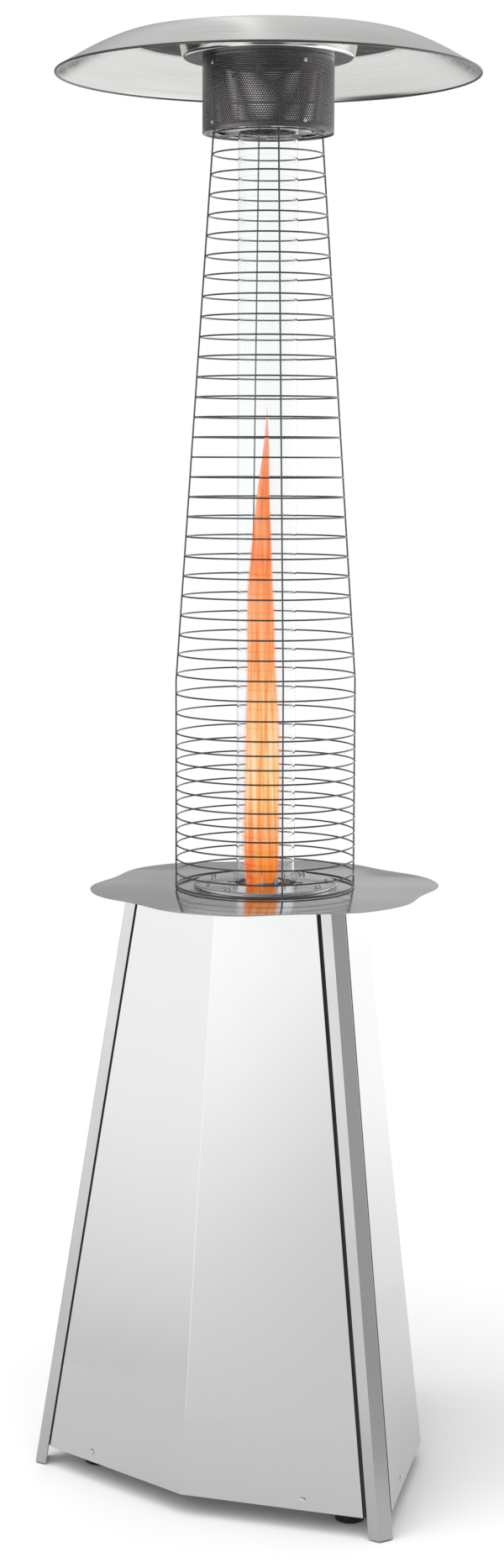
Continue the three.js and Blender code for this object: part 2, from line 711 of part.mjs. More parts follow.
function headPlate() {
  const outside = HEAD_RADIUS - SHEET - GAP;
  const collar = TUBE_RADIUS + 1;
  const plateTop = HEAD_PLATE_Z + SHEET;
  const body = lathe([
    [collar, HEAD_PLATE_Z], [outside, HEAD_PLATE_Z], [outside, plateTop + 8],
    [outside - SHEET, plateTop + 8], [outside - SHEET, plateTop],
    [collar + SHEET, plateTop], [collar + SHEET, plateTop + 16],
    [collar, plateTop + 16], [collar, HEAD_PLATE_Z],
  ], 36);
  const vents = [];
  for (let i = 0; i < 8; i += 1) {
    vents.push(turned(block(34, 12, 8, 0, -80, HEAD_PLATE_Z - 3), TWIST + 22.5 + i * 45));
  }
  return cut(body, ...vents);
}

function headCylinder() {
  const shell = ring(HEAD_RADIUS - SHEET, HEAD_RADIUS, HEAD_BOTTOM, HEAD_TOP - GAP, 36);
  const holes = [];
  for (let row = 0; row < 3; row += 1) {
    for (let i = 0; i < 14; i += 1) {
      const hole = rod(13, -HEAD_RADIUS - 5, -HEAD_RADIUS + 8, 6).rotateX(-Math.PI / 2);
      hole.translate(0, 0, HEAD_BOTTOM + 38 + row * 27);
      holes.push(turned(hole, (i + (row % 2) / 2) * 360 / 14));
    }
  }
  return cut(shell, ...holes);
}

add('head_plate', headPlate(), inner);
add('head_cylinder', headCylinder(), perforated);

// ---------------------------------------------------------------- reflector

const DISH_Z = HEAD_TOP;
const CROWN_SHEET = 1.2;
const STUD_CIRCLE = 92;
const STUD_RADIUS = 3;

function dish() {
  const top = CROWN_Z - CROWN_SHEET - GAP;
  return lathe([
    [0, DISH_Z], [DISH_RADIUS - 13, DISH_Z], [DISH_RADIUS - 9, DISH_Z + 2],
    [DISH_RADIUS - 7.5, DISH_Z + 6], [DISH_RADIUS, top], [DISH_RADIUS - SHEET, top],
    [DISH_RADIUS - 9, DISH_Z + 7], [DISH_RADIUS - 14, DISH_Z + SHEET], [0, DISH_Z + SHEET],
  ], 40);
}

/** Upper surface of the reflector from the crown's edge to the rim. */
function brimCurve() {
  return new THREE.CatmullRomCurve3([
    [CROWN_RADIUS, CROWN_Z], [258, 2450.3], [299, 2432], [RIM_RADIUS - 2, RIM_Z + 1],
  ].map(([r, z]) => new THREE.Vector3(r, z, 0)), false, 'centripetal').getPoints(5)
    .map((p) => [p.x, p.y]);
}

function reflector() {
  const upper = brimCurve();
  const lower = upper.map(([r, z]) => [r - 0.3, z - CROWN_SHEET]).reverse();
  const roll = [[RIM_RADIUS, RIM_Z - 0.4], [RIM_RADIUS, RIM_Z - 2.4], [RIM_RADIUS - 2, RIM_Z - 3.4]];
  return lathe([[0, CROWN_Z], ...upper, ...roll, ...lower, [0, CROWN_Z - CROWN_SHEET]], 44);
}

const studHoles = (low, high) => [0, 90, 180, 270].map((bearing) => turned(
  rod(STUD_RADIUS + GAP, low, high, 8).translate(0, -STUD_CIRCLE, 0), TWIST + bearing));

function reflectorStud() {
  const seat = CROWN_Z + GAP;
  return lathe([
    [0, DISH_Z - 6], [6, DISH_Z - 6], [6, DISH_Z - GAP], [STUD_RADIUS, DISH_Z - GAP],
    [STUD_RADIUS, seat], [8, seat], [8, seat + 7], [6.5, seat + 12], [3, seat + 15], [0, seat + 15.5],
  ], 12);
}

add('reflector_dish', cut(dish(), ...studHoles(DISH_Z - 5, DISH_Z + 10)), mirror);
add('reflector', cut(reflector(), ...studHoles(CROWN_Z - 10, CROWN_Z + 10)), steel);
['front', 'right', 'back', 'left'].forEach((side, i) => {
  const stud = reflectorStud().translate(0, -STUD_CIRCLE, 0);
  add(`reflector_stud_${side}`, turned(stud, TWIST + i * 90), steel);
});

export default heater;
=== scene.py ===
# Looks for a free-standing gas patio heater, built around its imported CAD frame.
#
# Metres, +Z up, in the frame of the CAD model. TOWER is the flame tube's axis; bearings are in
# degrees about it, from the front (-Y) towards the right (+X).

import json
import math

import bmesh
import bpy
from mathutils import Matrix, Vector
from mathutils.bvhtree import BVHTree

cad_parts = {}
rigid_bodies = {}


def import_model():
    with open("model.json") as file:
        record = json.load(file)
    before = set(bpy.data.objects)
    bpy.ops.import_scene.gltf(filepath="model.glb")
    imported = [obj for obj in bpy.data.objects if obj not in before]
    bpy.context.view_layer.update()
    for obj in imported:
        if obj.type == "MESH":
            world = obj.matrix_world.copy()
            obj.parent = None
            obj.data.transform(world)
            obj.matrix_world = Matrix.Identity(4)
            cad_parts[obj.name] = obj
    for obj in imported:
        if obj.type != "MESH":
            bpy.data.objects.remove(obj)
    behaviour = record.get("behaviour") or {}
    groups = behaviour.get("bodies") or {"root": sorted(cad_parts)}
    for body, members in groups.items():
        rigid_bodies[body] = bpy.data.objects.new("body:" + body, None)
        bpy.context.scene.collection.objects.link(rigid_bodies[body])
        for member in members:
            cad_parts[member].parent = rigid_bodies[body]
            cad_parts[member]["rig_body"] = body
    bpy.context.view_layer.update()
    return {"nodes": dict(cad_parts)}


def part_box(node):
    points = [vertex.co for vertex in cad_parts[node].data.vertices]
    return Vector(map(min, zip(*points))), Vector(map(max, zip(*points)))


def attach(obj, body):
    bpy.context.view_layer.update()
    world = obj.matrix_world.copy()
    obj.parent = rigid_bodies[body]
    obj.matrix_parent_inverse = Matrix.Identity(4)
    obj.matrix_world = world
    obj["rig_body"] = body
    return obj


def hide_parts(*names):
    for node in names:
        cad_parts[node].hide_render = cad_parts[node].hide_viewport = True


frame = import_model()
scene = bpy.context.scene

MM = 0.001
TINY = 1e-7

tube_low, tube_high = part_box("glass_tube")
TOWER = Vector(((tube_low.x + tube_high.x) / 2, (tube_low.y + tube_high.y) / 2, 0))
POST_BEARINGS = {"front": 0, "right": 120, "left": -120}
TWIST = -19.8  # bearing of the guard's first wire and of the table's first notch


def width_of(node):
    low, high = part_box(node)
    return high.x - low.x


# ------------------------------------------------------------------ camera

CAMERA_BEARING = -30.3
CAMERA_DISTANCE = 4.4566
CAMERA_HEIGHT = 1.7666
CAMERA_LENS = 60.03
CAMERA_PITCH = 7.108
CAMERA_YAW = -0.302
CAMERA_ROLL = 0.194


def make_camera():
    pitch, yaw, roll = (math.radians(a) for a in (CAMERA_PITCH, CAMERA_YAW, CAMERA_ROLL))
    turn = Matrix.Rotation(math.radians(CAMERA_BEARING), 3, "Z")
    ahead = Vector((math.sin(yaw) * math.cos(pitch), math.cos(yaw) * math.cos(pitch), -math.sin(pitch)))
    level = ahead.cross(Vector((0, 0, 1))).normalized()
    upright = level.cross(ahead)
    right = level * math.cos(roll) + upright * math.sin(roll)
    up = upright * math.cos(roll) - level * math.sin(roll)
    axes = Matrix((right, up, -ahead)).transposed()
    camera = bpy.data.objects.new("camera", bpy.data.cameras.new("camera"))
    camera.data.lens = CAMERA_LENS
    camera.data.clip_end = 60
    place = turn @ Vector((0, -CAMERA_DISTANCE, CAMERA_HEIGHT)) + TOWER
    camera.matrix_world = Matrix.Translation(place) @ (turn @ axes).to_4x4()
    scene.collection.objects.link(camera)
    scene.camera = camera


make_camera()


# ------------------------------------------------------------------ material helpers

class Nodes:
    """Short ways to add nodes to the tree of a material or a world."""

    def __init__(self, tree):
        self.tree = tree

    def node(self, kind, *inputs, **settings):
        """New node with its first inputs given as constants or as other nodes' outputs."""
        made = self.tree.nodes.new(kind)
        for name, value in settings.items():
            setattr(made, name, value)
        for socket, value in zip(made.inputs, inputs):
            if isinstance(value, bpy.types.NodeSocket):
                self.tree.links.new(value, socket)
            elif value is not None:
                socket.default_value = value
        return made

    def math(self, operation, *inputs):
        return self.node("ShaderNodeMath", *inputs, operation=operation).outputs[0]

    def span(self, factor, low, high, start=0.0, end=1.0):
        """Maps start..end to low..high."""
        return self.node("ShaderNodeMapRange", factor, start, end, low, high).outputs[0]

    def ramp(self, factor, stops, interpolation="LINEAR"):
        made = self.node("ShaderNodeValToRGB", factor)
        made.color_ramp.interpolation = interpolation
        elements = made.color_ramp.elements
        while len(elements) < len(stops):
            elements.new(0.5)
        for element, (position, colour) in zip(elements, stops):
            element.position = position
            element.color = (*colour, 1)
        return made.outputs["Color"]


class Surface(Nodes):
    """One material with a Principled shader."""

    def __init__(self, name, colour, roughness, metallic=0.0):
        self.material = bpy.data.materials.new(name + "_finish")
        self.material.use_nodes = True
        super().__init__(self.material.node_tree)
        self.shader = self.tree.nodes["Principled BSDF"]
        self.set(Base_Color=(*colour, 1), Roughness=roughness, Metallic=metallic)

    def set(self, **values):
        """Puts constants or other nodes' outputs on the shader's sockets."""
        for name, value in values.items():
            socket = self.shader.inputs[name.replace("_", " ")]
            if isinstance(value, bpy.types.NodeSocket):
                self.tree.links.new(value, socket)
            else:
                socket.default_value = value

    def place(self):
        """Object coordinates, in metres from the piece's own origin."""
        return self.node("ShaderNodeTexCoord").outputs["Object"]

    def stretched(self, scale):
        return self.node("ShaderNodeMapping", self.place(), None, None, scale).outputs[0]

    def around(self, across, along=1.5):
        """Coordinates whose noise runs in rings about the piece's axis."""
        x, y, z = self.node("ShaderNodeSeparateXYZ", self.place()).outputs
        square = self.math("ADD", self.math("MULTIPLY", x, x), self.math("MULTIPLY", y, y))
        radius = self.math("SQRT", square)
        turn = self.math("ARCTAN2", y, x)
        parts = [self.math("MULTIPLY", part, scale) for part, scale in (
            (radius, across), (turn, along), (z, across))]
        return self.node("ShaderNodeCombineXYZ", *parts).outputs[0]

    def noise(self, vector, scale=1.0, detail=3.0, roughness=0.5):
        made = self.node("ShaderNodeTexNoise")
        self.tree.links.new(vector, made.inputs["Vector"])
        made.inputs["Scale"].default_value = scale
        made.inputs["Detail"].default_value = detail
        made.inputs["Roughness"].default_value = roughness
        return made.outputs["Fac"]

    def bump(self, height, strength, distance):
        made = self.node("ShaderNodeBump", strength, distance)
        self.tree.links.new(height, made.inputs["Height"])
        self.set(Normal=made.outputs["Normal"])

    def shade(self, factor, colour, spread):
        """Colour that varies by spread either way with a noise factor."""
        dark = [c * (1 - spread) for c in colour]
        pale = [min(1, c * (1 + spread)) for c in colour]
        self.set(Base_Color=self.ramp(factor, [(0.25, dark), (0.75, pale)]))


def brushed_metal(name, colour, roughness, grain, tone=0.06, blur=0.06, depth=0.02, anisotropy=0.0,
                  marks=0.03):
    """Bare metal with fine grain: a stretch (x, y, z), or one number for rings about the axis."""
    surface = Surface(name, colour, roughness, metallic=1.0)
    vector = surface.stretched(grain) if isinstance(grain, tuple) else surface.around(grain)
    lines = surface.noise(vector, detail=4, roughness=0.6)
    smudge = surface.noise(surface.place(), scale=9, detail=2)
    surface.shade(lines, colour, tone)
    fine = surface.span(lines, roughness - blur, roughness + blur, 0.3, 0.7)
    wide = surface.span(smudge, -marks, marks, 0.3, 0.7)
    surface.set(Roughness=surface.math("MAXIMUM", surface.math("ADD", fine, wide), 0.02))
    surface.bump(lines, 0.35, depth * MM)
    if anisotropy:
        tangent = surface.node("ShaderNodeTangent", direction_type="RADIAL", axis="Z")
        surface.set(Tangent=tangent.outputs[0], Anisotropic=anisotropy)
    return surface


def speckled(name, colour, roughness, scale, depth, spread=0.15):
    """Moulded plastic, rubber or glaze: a fine pebbled surface."""
    surface = Surface(name, colour, roughness)
    grain = surface.noise(surface.place(), scale=scale, detail=3)
    patches = surface.noise(surface.place(), scale=25, detail=2)
    surface.shade(patches, colour, spread)
    surface.set(Roughness=surface.span(grain, roughness - 0.08, roughness + 0.08, 0.3, 0.7))
    surface.bump(grain, 0.4, depth * MM)
    return surface


def quartz():
    """Clear tube with faint dusty streaks and a slightly uneven wall."""
    surface = Surface("quartz_glass", (0.97, 0.98, 0.985), 0.02)
    dust = surface.noise(surface.stretched((40, 40, 5)), detail=3)
    surface.set(Roughness=surface.span(dust, 0.0, 0.045, 0.45, 0.8))
    surface.bump(surface.noise(surface.stretched((6, 6, 1.2)), detail=1), 0.25, 0.2 * MM)
    surface.set(IOR=1.33, Transmission_Weight=1.0)
    return surface


FLAME_LOW = 1.031
FLAME_HIGH = 1.853
FLAME_CORE = [
    (0.00, (0.62, 0.10, 0.002)), (0.04, (0.80, 0.17, 0.005)), (0.08, (0.94, 0.32, 0.05)),
    (0.12, (0.97, 0.50, 0.18)), (0.20, (0.97, 0.72, 0.30)), (0.28, (0.97, 0.68, 0.28)),
    (0.37, (0.97, 0.56, 0.20)), (0.48, (0.97, 0.38, 0.11)), (0.62, (0.97, 0.29, 0.09)),
    (0.80, (0.95, 0.26, 0.08)), (0.93, (0.95, 0.40, 0.24)), (1.00, (1.00, 0.60, 0.45)),
]
FLAME_SHEATH = [(0.0, (1.0, 0.24, 0.03)), (0.2, (1.0, 0.34, 0.09)), (1.0, (1.0, 0.34, 0.09))]


def flame_surface(name, stops, low, high):
    """Glowing gas: colour by height, upright streaks, and a thin edge that fades out.

    low and high are how solid it is at its edge and facing the eye.
    """
    surface = Surface(name, (0, 0, 0), 1.0)
    z = surface.node("ShaderNodeSeparateXYZ", surface.place()).outputs[2]
    height = surface.span(z, 0.0, 1.0, FLAME_LOW, FLAME_HIGH)
    colour = surface.ramp(height, stops)
    streaks = surface.noise(surface.stretched((150, 150, 5)), detail=3, roughness=0.55)
    glow = surface.ramp(streaks, [
        (0.38, (1.0, 0.48, 0.15)), (0.50, (1, 1, 1)), (0.60, (1.03, 1.34, 2.1))])
    mixed = surface.node("ShaderNodeVectorMath", colour, glow, operation="MULTIPLY").outputs[0]
    facing = surface.node("ShaderNodeLayerWeight", 0.35).outputs["Facing"]
    body = surface.span(facing, high, low)
    wisps = surface.span(streaks, 0.88, 1.12, 0.3, 0.7)
    tip = surface.span(height, 1.0, 0.55, 0.82, 1.0)
    alpha = surface.math("MULTIPLY", surface.math("MULTIPLY", body, wisps), tip)
    clear = surface.node("ShaderNodeClamp", alpha).outputs[0]
    surface.set(Emission_Color=mixed, Emission_Strength=1.0, Alpha=clear, Specular_IOR_Level=0.0)
    return surface


FINISHES = {
    "stainless_panel": brushed_metal("stainless_panel", (0.49, 0.492, 0.495), 0.10, (900, 900, 6),
                                     tone=0.008, blur=0.012, depth=0.001, marks=0.012),
    "brushed_post": brushed_metal("brushed_post", (0.40, 0.40, 0.403), 0.22, (1500, 1500, 6),
                                  tone=0.06, blur=0.04, depth=0.003),
    "table_steel": brushed_metal("table_steel", (0.55, 0.557, 0.572), 0.13, (9, 700, 700),
                                 tone=0.10, blur=0.03, depth=0.002),
    "reflector_steel": brushed_metal("reflector_steel", (0.66, 0.655, 0.64), 0.18, 480,
                                     tone=0.10, blur=0.06, depth=0.004, anisotropy=0.6),
    "dish_chrome": brushed_metal("dish_chrome", (0.66, 0.655, 0.64), 0.07, 700,
                                 tone=0.10, blur=0.03, depth=0.003),
    # The wire's steel is darkened far below bare steel: a painted dark reflection of the dark
    # surroundings the thin wires mirror.
    "guard_wire": brushed_metal("guard_wire", (0.115, 0.115, 0.117), 0.2, (60, 60, 60),
                                tone=0.08, blur=0.05, depth=0.01),
    # The head's steel is darkened far below bare steel: painted shade of the dark inside seen through
    # the holes, and a painted dark reflection of the surroundings.
    "head_perforated": brushed_metal("head_perforated", (0.12, 0.112, 0.114), 0.2, 300,
                                     tone=0.10, blur=0.06, depth=0.002, anisotropy=0.2),
    "inner_steel": brushed_metal("inner_steel", (0.50, 0.50, 0.51), 0.34, (90, 90, 30),
                                 tone=0.08, blur=0.08, depth=0.02),
    "fittings": brushed_metal("fittings", (0.60, 0.60, 0.61), 0.20, (150, 150, 150),
                              tone=0.06, blur=0.06, depth=0.01),
    "brass_parts": brushed_metal("brass_parts", (0.72, 0.52, 0.22), 0.26, (120, 120, 120),
                                 tone=0.10, blur=0.08, depth=0.02),
    "black_plastic": speckled("black_plastic", (0.020, 0.020, 0.022), 0.42, 900, 0.04),
    "rubber_parts": speckled("rubber_parts", (0.012, 0.012, 0.012), 0.72, 500, 0.06),
    "porcelain": speckled("porcelain", (0.80, 0.78, 0.74), 0.18, 300, 0.02, spread=0.04),
    "quartz_glass": quartz(),
}


# ------------------------------------------------------------------ shape helpers

def polar(radius, bearing, z):
    """Point about the tower's axis."""
    angle = math.radians(bearing)
    return Vector((radius * math.sin(angle), -radius * math.cos(angle), z))


def circle(radius, z, count, turn=0.0):
    """Evenly spaced points about the tower's axis."""
    return [polar(radius, turn + 360 * i / count, z) for i in range(count)]


def catmull(points, steps):
    """Smooth curve through points, with the given steps between neighbours."""
    points = [Vector(p) for p in points]
    ends = [2 * points[0] - points[1], *points, 2 * points[-1] - points[-2]]
    curve = []
    for a, b, c, d in zip(ends, ends[1:], ends[2:], ends[3:]):
        for i in range(steps):
            t = i / steps
            curve.append(0.5 * (2 * b + (c - a) * t + (2 * a - 5 * b + 4 * c - d) * t ** 2
                                + (3 * b - a - 3 * c + d) * t ** 3))
    return curve + [points[-1]]


def arc(centre, radius, start, end, steps):
    """Points of a round corner in a profile, angles in degrees from the outward direction."""
    angles = [math.radians(start + (end - start) * i / steps) for i in range(steps + 1)]
    return [(centre[0] + radius * math.cos(a), centre[1] + radius * math.sin(a)) for a in angles]


class Shape:
    """Collects points and faces of one piece. Its origin is on the tower's axis at floor level."""

    def __init__(self):
        self.points = []
        self.faces = []

    def row(self, points):
        first = len(self.points)
        self.points += [Vector(p) for p in points]
        return list(range(first, len(self.points)))

    def bridge(self, low, high, closed=True):
        """Faces between two rows, either of which may be a single point."""
        count = max(len(low), len(high))
        for i in range(count if closed else count - 1):
            k = (i + 1) % count
            a, b = (low[0],) * 2 if len(low) == 1 else (low[i], low[k])
            c, d = (high[0],) * 2 if len(high) == 1 else (high[k], high[i])
            face = [a, b, c, d]
            self.faces.append([v for n, v in enumerate(face) if v not in face[:n]])

    def rows(self, rows, closed=True, looped=False):
        made = [self.row(points) for points in rows]
        for low, high in zip(made, made[1:]):
            self.bridge(low, high, closed)
        if looped:
            self.bridge(made[-1], made[0], closed)
        return made

    def revolve(self, profile, segments=96, looped=False):
        """Turns (radius, height) pairs about the axis."""
        self.rows([[(0, 0, z)] if radius < TINY else circle(radius, z, segments)
                   for radius, z in profile], looped=looped)
        return self

    def hoop(self, radius, z, wire, segments=96, sides=8):
        turns = [math.tau * i / sides for i in range(sides)]
        section = [(radius + wire * math.cos(turn), z + wire * math.sin(turn)) for turn in turns]
        return self.revolve(section, segments, looped=True)

    def pipe(self, path, radius, sides=10):
        """Round bar along a path of points. radius is one number, or one for each point."""
        path = [Vector(p) for p in path]
        radii = radius if isinstance(radius, (list, tuple)) else [radius] * len(path)
        ahead = [(b - a).normalized() for a, b in zip(path, path[1:])]
        ahead = [ahead[0]] + [(a + b).normalized() for a, b in zip(ahead, ahead[1:])] + [ahead[-1]]
        side = ahead[0].orthogonal().normalized()
        turns = [math.tau * i / sides for i in range(sides)]
        rows = []
        for point, way, size in zip(path, ahead, radii):
            side = (side - way * side.dot(way)).normalized()
            other = way.cross(side)
            rows.append([point + (side * math.cos(turn) + other * math.sin(turn)) * size
                         for turn in turns])
        self.rows([[path[0]], *rows, [path[-1]]])
        return self

    def outline(self, points, low, high):
        """Upright prism on a flat outline."""
        bottom, top = self.rows([[(p[0], p[1], z) for p in points] for z in (low, high)])
        self.faces += [bottom[::-1], top]
        return self

    def copy_in(self, other, matrix):
        first = len(self.points)
        self.points += [matrix @ p for p in other.points]
        self.faces += [[first + v for v in face] for face in other.faces]
        return self

    def piece(self, name, slot, body="heater", replaces=(), sharp=35, merge=False, thick=0.0,
              surface=None):
        """Makes the Blender object, finished and riding on its body."""
        mesh = bpy.data.meshes.new(name)
        mesh.from_pydata(self.points, [], self.faces)
        bm = bmesh.new()
        bm.from_mesh(mesh)
        if merge:
            bmesh.ops.remove_doubles(bm, verts=bm.verts, dist=0.01 * MM)
        bmesh.ops.recalc_face_normals(bm, faces=bm.faces)
        bm.to_mesh(mesh)
        bm.free()
        obj = bpy.data.objects.new(name, mesh)
        obj.location = TOWER
        scene.collection.objects.link(obj)
        if thick:
            solid = obj.modifiers.new("thickness", "SOLIDIFY")
            solid.thickness = thick
            solid.offset = -1
        return finish_piece(obj, slot, body, replaces, sharp, surface=surface)


def finish_piece(obj, slot, body, replaces, sharp, bevel=0.0, surface=None):
    """Rounds and smooths a piece, and gives it the material of its slot and its body."""
    if bevel:
        rounding = obj.modifiers.new("rounded_edges", "BEVEL")
        rounding.width = bevel
        rounding.segments = 2
        rounding.angle_limit = math.radians(sharp - 5)
        flats = obj.modifiers.new("even_flats", "WEIGHTED_NORMAL")
        flats.mode = "FACE_AREA"
        flats.weight = 100
    obj.data.shade_smooth()
    obj.data.set_sharp_from_angle(angle=math.radians(180 if bevel else sharp))
    obj.data.materials.clear()
    obj.data.materials.append((surface or FINISHES[slot]).material)
    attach(obj, body)
    if replaces:
        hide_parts(*replaces)
    return obj


def welded(node):
    """A CAD piece's mesh with doubled points merged and flat faces joined."""
    bm = bmesh.new()
    bm.from_mesh(frame["nodes"][node].data)
    bmesh.ops.remove_doubles(bm, verts=bm.verts, dist=0.005 * MM)
    bmesh.ops.dissolve_limit(bm, angle_limit=math.radians(0.6), verts=bm.verts, edges=bm.edges)
    return bm


def refined(node, name, bevel=0.4 * MM, sharp=30):
    """A copy of a CAD piece with merged faces and softly rounded edges."""
    source = frame["nodes"][node]
    mesh = bpy.data.meshes.new(name)
    bm = welded(node)
    bm.to_mesh(mesh)
    bm.free()
    obj = bpy.data.objects.new(name, mesh)
    scene.collection.objects.link(obj)
    return finish_piece(obj, source.data.materials[0].name, source["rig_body"], [node], sharp, bevel)


def frame_on(point, normal):
    """Matrix whose Z is the normal and whose Y runs up."""
    z = Vector(normal).normalized()
    x = Vector((0, 0, 1)).cross(z).normalized()
    return Matrix.Translation(point) @ Matrix((x, z.cross(x), z)).transposed().to_4x4()


def on_skin(node, bearing, z):
    """Matrix on the outer face of a CAD node, in the tower's frame, Z pointing out."""
    bm = bmesh.new()
    bm.from_mesh(frame["nodes"][node].data)
    tree = BVHTree.FromBMesh(bm)
    bm.free()
    outside = polar(1.0, bearing, z)
    point, normal, _, _ = tree.ray_cast(outside + TOWER, (polar(0, 0, z) - outside).normalized())
    return frame_on(point - TOWER, normal)


# ------------------------------------------------------------------ small hardware

def pan_screw(radius, height, slot_width):
    """Domed screw head with a straight slot, standing on its own Z = 0."""
    shape = Shape()
    steps = 5
    segments = 14
    rises = [math.radians(90 * i / steps) for i in range(steps)]
    dome = [(radius * math.cos(rise), height * math.sin(rise)) for rise in rises]
    flat = radius * 0.72
    for side in (-1, 1):
        rows = []
        for r, z in [(radius, -height * 0.3), *dome]:
            r = max(r, slot_width)
            half = math.degrees(math.asin(min(0.99, slot_width / 2 / r)))
            turns = [math.radians(half + (180 - 2 * half) * i / segments) for i in range(segments + 1)]
            rows.append([Vector((r * math.cos(turn), side * r * math.sin(turn), z)) for turn in turns])
        made = shape.rows(rows, closed=False)
        shape.faces.append(made[-1])
        for low, high in zip(made, made[1:]):
            shape.faces.append([low[0], high[0], high[-1], low[-1]])
    shape.outline([(-flat, -slot_width / 2), (flat, -slot_width / 2), (flat, slot_width / 2),
                   (-flat, slot_width / 2)], -height * 0.3, height * 0.35)
    return shape


def hex_bolt(radius, height, washer):
    """Six-sided bolt head with a chamfered top on a thin washer."""
    shape = Shape()
    shape.revolve([(0, 0), (washer, 0), (washer, 0.25 * height), (0, 0.25 * height)], 20)
    shape.revolve([(0, 0.2 * height), (radius, 0.2 * height), (radius, 0.85 * height),
                   (radius * 0.86, height), (0, height)], 6)
    return shape


def cap_nut(radius, height):
    """Six-sided nut with a dome over the stud's end."""
    shape = Shape()
    base = 0.45 * height
    shape.revolve([(0, 0), (radius, 0), (radius, base * 0.85), (radius * 0.88, base), (0, base)], 6)
    foot = base * 0.95
    rises = [math.radians(a) for a in range(0, 90, 15)]
    dome = [(0.78 * radius * math.cos(rise), foot + (height - foot) * math.sin(rise)) for rise in rises]
    shape.revolve([*dome, (0, height)], 20)
    return shape


# ------------------------------------------------------------------ base

CREASE_BEVEL = 1.2 * MM
EDGE_BEVEL = 0.35 * MM


def creased_sheet(node, name, bearing):
    """Folded steel panel: the crease and the folded edges are rounded like bent sheet."""
    obj = refined(node, name, bevel=CREASE_BEVEL, sharp=15)
    rounding = obj.modifiers["rounded_edges"]
    rounding.segments = 3
    rounding.limit_method = "WEIGHT"
    weights = obj.data.attributes.new("bevel_weight_edge", "FLOAT", "EDGE")
    centre = polar(1, bearing, 0).normalized()
    for edge in obj.data.edges:
        a, b = (obj.data.vertices[v].co for v in edge.vertices)
        upright = abs((b - a).normalized().z) > 0.8
        outer = ((a + b) / 2 - TOWER).dot(centre) > 0
        weights.data[edge.index].value = 1.0 if upright and outer else EDGE_BEVEL / CREASE_BEVEL
    return obj


def make_base():
    for side in POST_BEARINGS:
        post = refined(f"corner_post_{side}", f"post_{side}", bevel=0.8 * MM)
        post.modifiers["rounded_edges"].segments = 3
    creased_sheet("panel_left", "side_panel_left", -60)
    creased_sheet("panel_right", "side_panel_right", 60)
    creased_sheet("rear_door", "door_sheet", 180)
    refined("control_fascia", "fascia_sheet", bevel=0.3 * MM, sharp=12)
    for node in ("base_plate", "top_plate"):
        refined(node, node + "_sheet")


FOOT_CIRCLE = 290 * MM
FOOT_PAD = 14 * MM
FOOT_NECK = 11 * MM
FOOT_RIBS = 24


def make_feet():
    """Round rubber feet with grip ribs moulded round the pad, on a plain neck."""
    low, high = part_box("foot_front")
    radius = width_of("foot_front") / 2
    top = high.z - low.z
    for side, bearing in POST_BEARINGS.items():
        shape = Shape()
        local = Shape().revolve([
            (0, 0), (radius - 5 * MM, 0), *arc((radius - 3 * MM, 3 * MM), 3 * MM, -90, 0, 4),
            *arc((radius - 2 * MM, FOOT_PAD - 2 * MM), 2 * MM, 0, 90, 4),
            (FOOT_NECK + 2 * MM, FOOT_PAD + 1.5 * MM), (FOOT_NECK, FOOT_PAD + 4 * MM),
            (FOOT_NECK, top), (0, top)], 40)
        shape.copy_in(local, Matrix.Translation(polar(FOOT_CIRCLE, bearing, low.z)))
        for rib in circle(radius - 0.55 * MM, 0, FOOT_RIBS):
            spot = polar(FOOT_CIRCLE, bearing, 0) + rib
            shape.pipe([spot + Vector((0, 0, z * MM)) for z in (4, 6, 10)], 0.5 * MM, 6)
        shape.piece(f"levelling_foot_{side}", "rubber_parts", replaces=[f"foot_{side}"])


SCREW_ASIDE = 18.0  # bearing from a post to the panel screw beside it
SCREW_Z = 54 * MM


def make_panel_screws():
    """Slotted screws low on the side panels, each pair turned differently."""
    screws = Shape()
    head = pan_screw(5.4 * MM, 2.6 * MM, 1.3 * MM)
    for node, crease in (("panel_left", -60), ("panel_right", 60)):
        for side in (-1, 1):
            bearing = crease + side * (60 - SCREW_ASIDE)
            spin = Matrix.Rotation(math.radians(35 + 50 * side), 4, "Z")
            screws.copy_in(head, on_skin(node, bearing, SCREW_Z) @ spin)
    screws.piece("panel_screws", "fittings", sharp=30)


# The black strips set by these numbers are painted shade: they darken the gaps between the sheets and
# the posts, where there is only shadow.
GAP_SHADE_STRIP = 5.8 * MM  # fills the gap between a fixed sheet and the post
DOOR_SHADE_STRIP = 1.2 * MM  # thin, so that the door swings clear
SHADE_STRIP_RECESS = 0.3  # share of the folded edge left bare
SHADE_STRIP_TAPER = 0.06  # share of the strip's width that slopes at each side
SHADE_STRIP_LIFT = 0.02 * MM  # keeps the strip off the steel
FACET_TURN = 12.19  # bearing between a panel's crease and each facet's normal


def folded_edge(node, crease, side):
    """Corners of the outer face of a panel's folded-in edge, lowest first, outer before inner."""
    toward = polar(1, crease + side * (FACET_TURN + 90), 0)
    bm = welded(node)
    best = max((f for f in bm.faces if f.normal.dot(toward) > 0.9), key=lambda f: f.calc_area())
    corners = [v.co - TOWER for v in best.verts]
    normal = best.normal.copy()
    bm.free()
    corners.sort(key=lambda c: c.z)
    low, high = (sorted(pair, key=lambda c: -c.xy.length) for pair in (corners[:2], corners[2:]))
    return low, high, normal


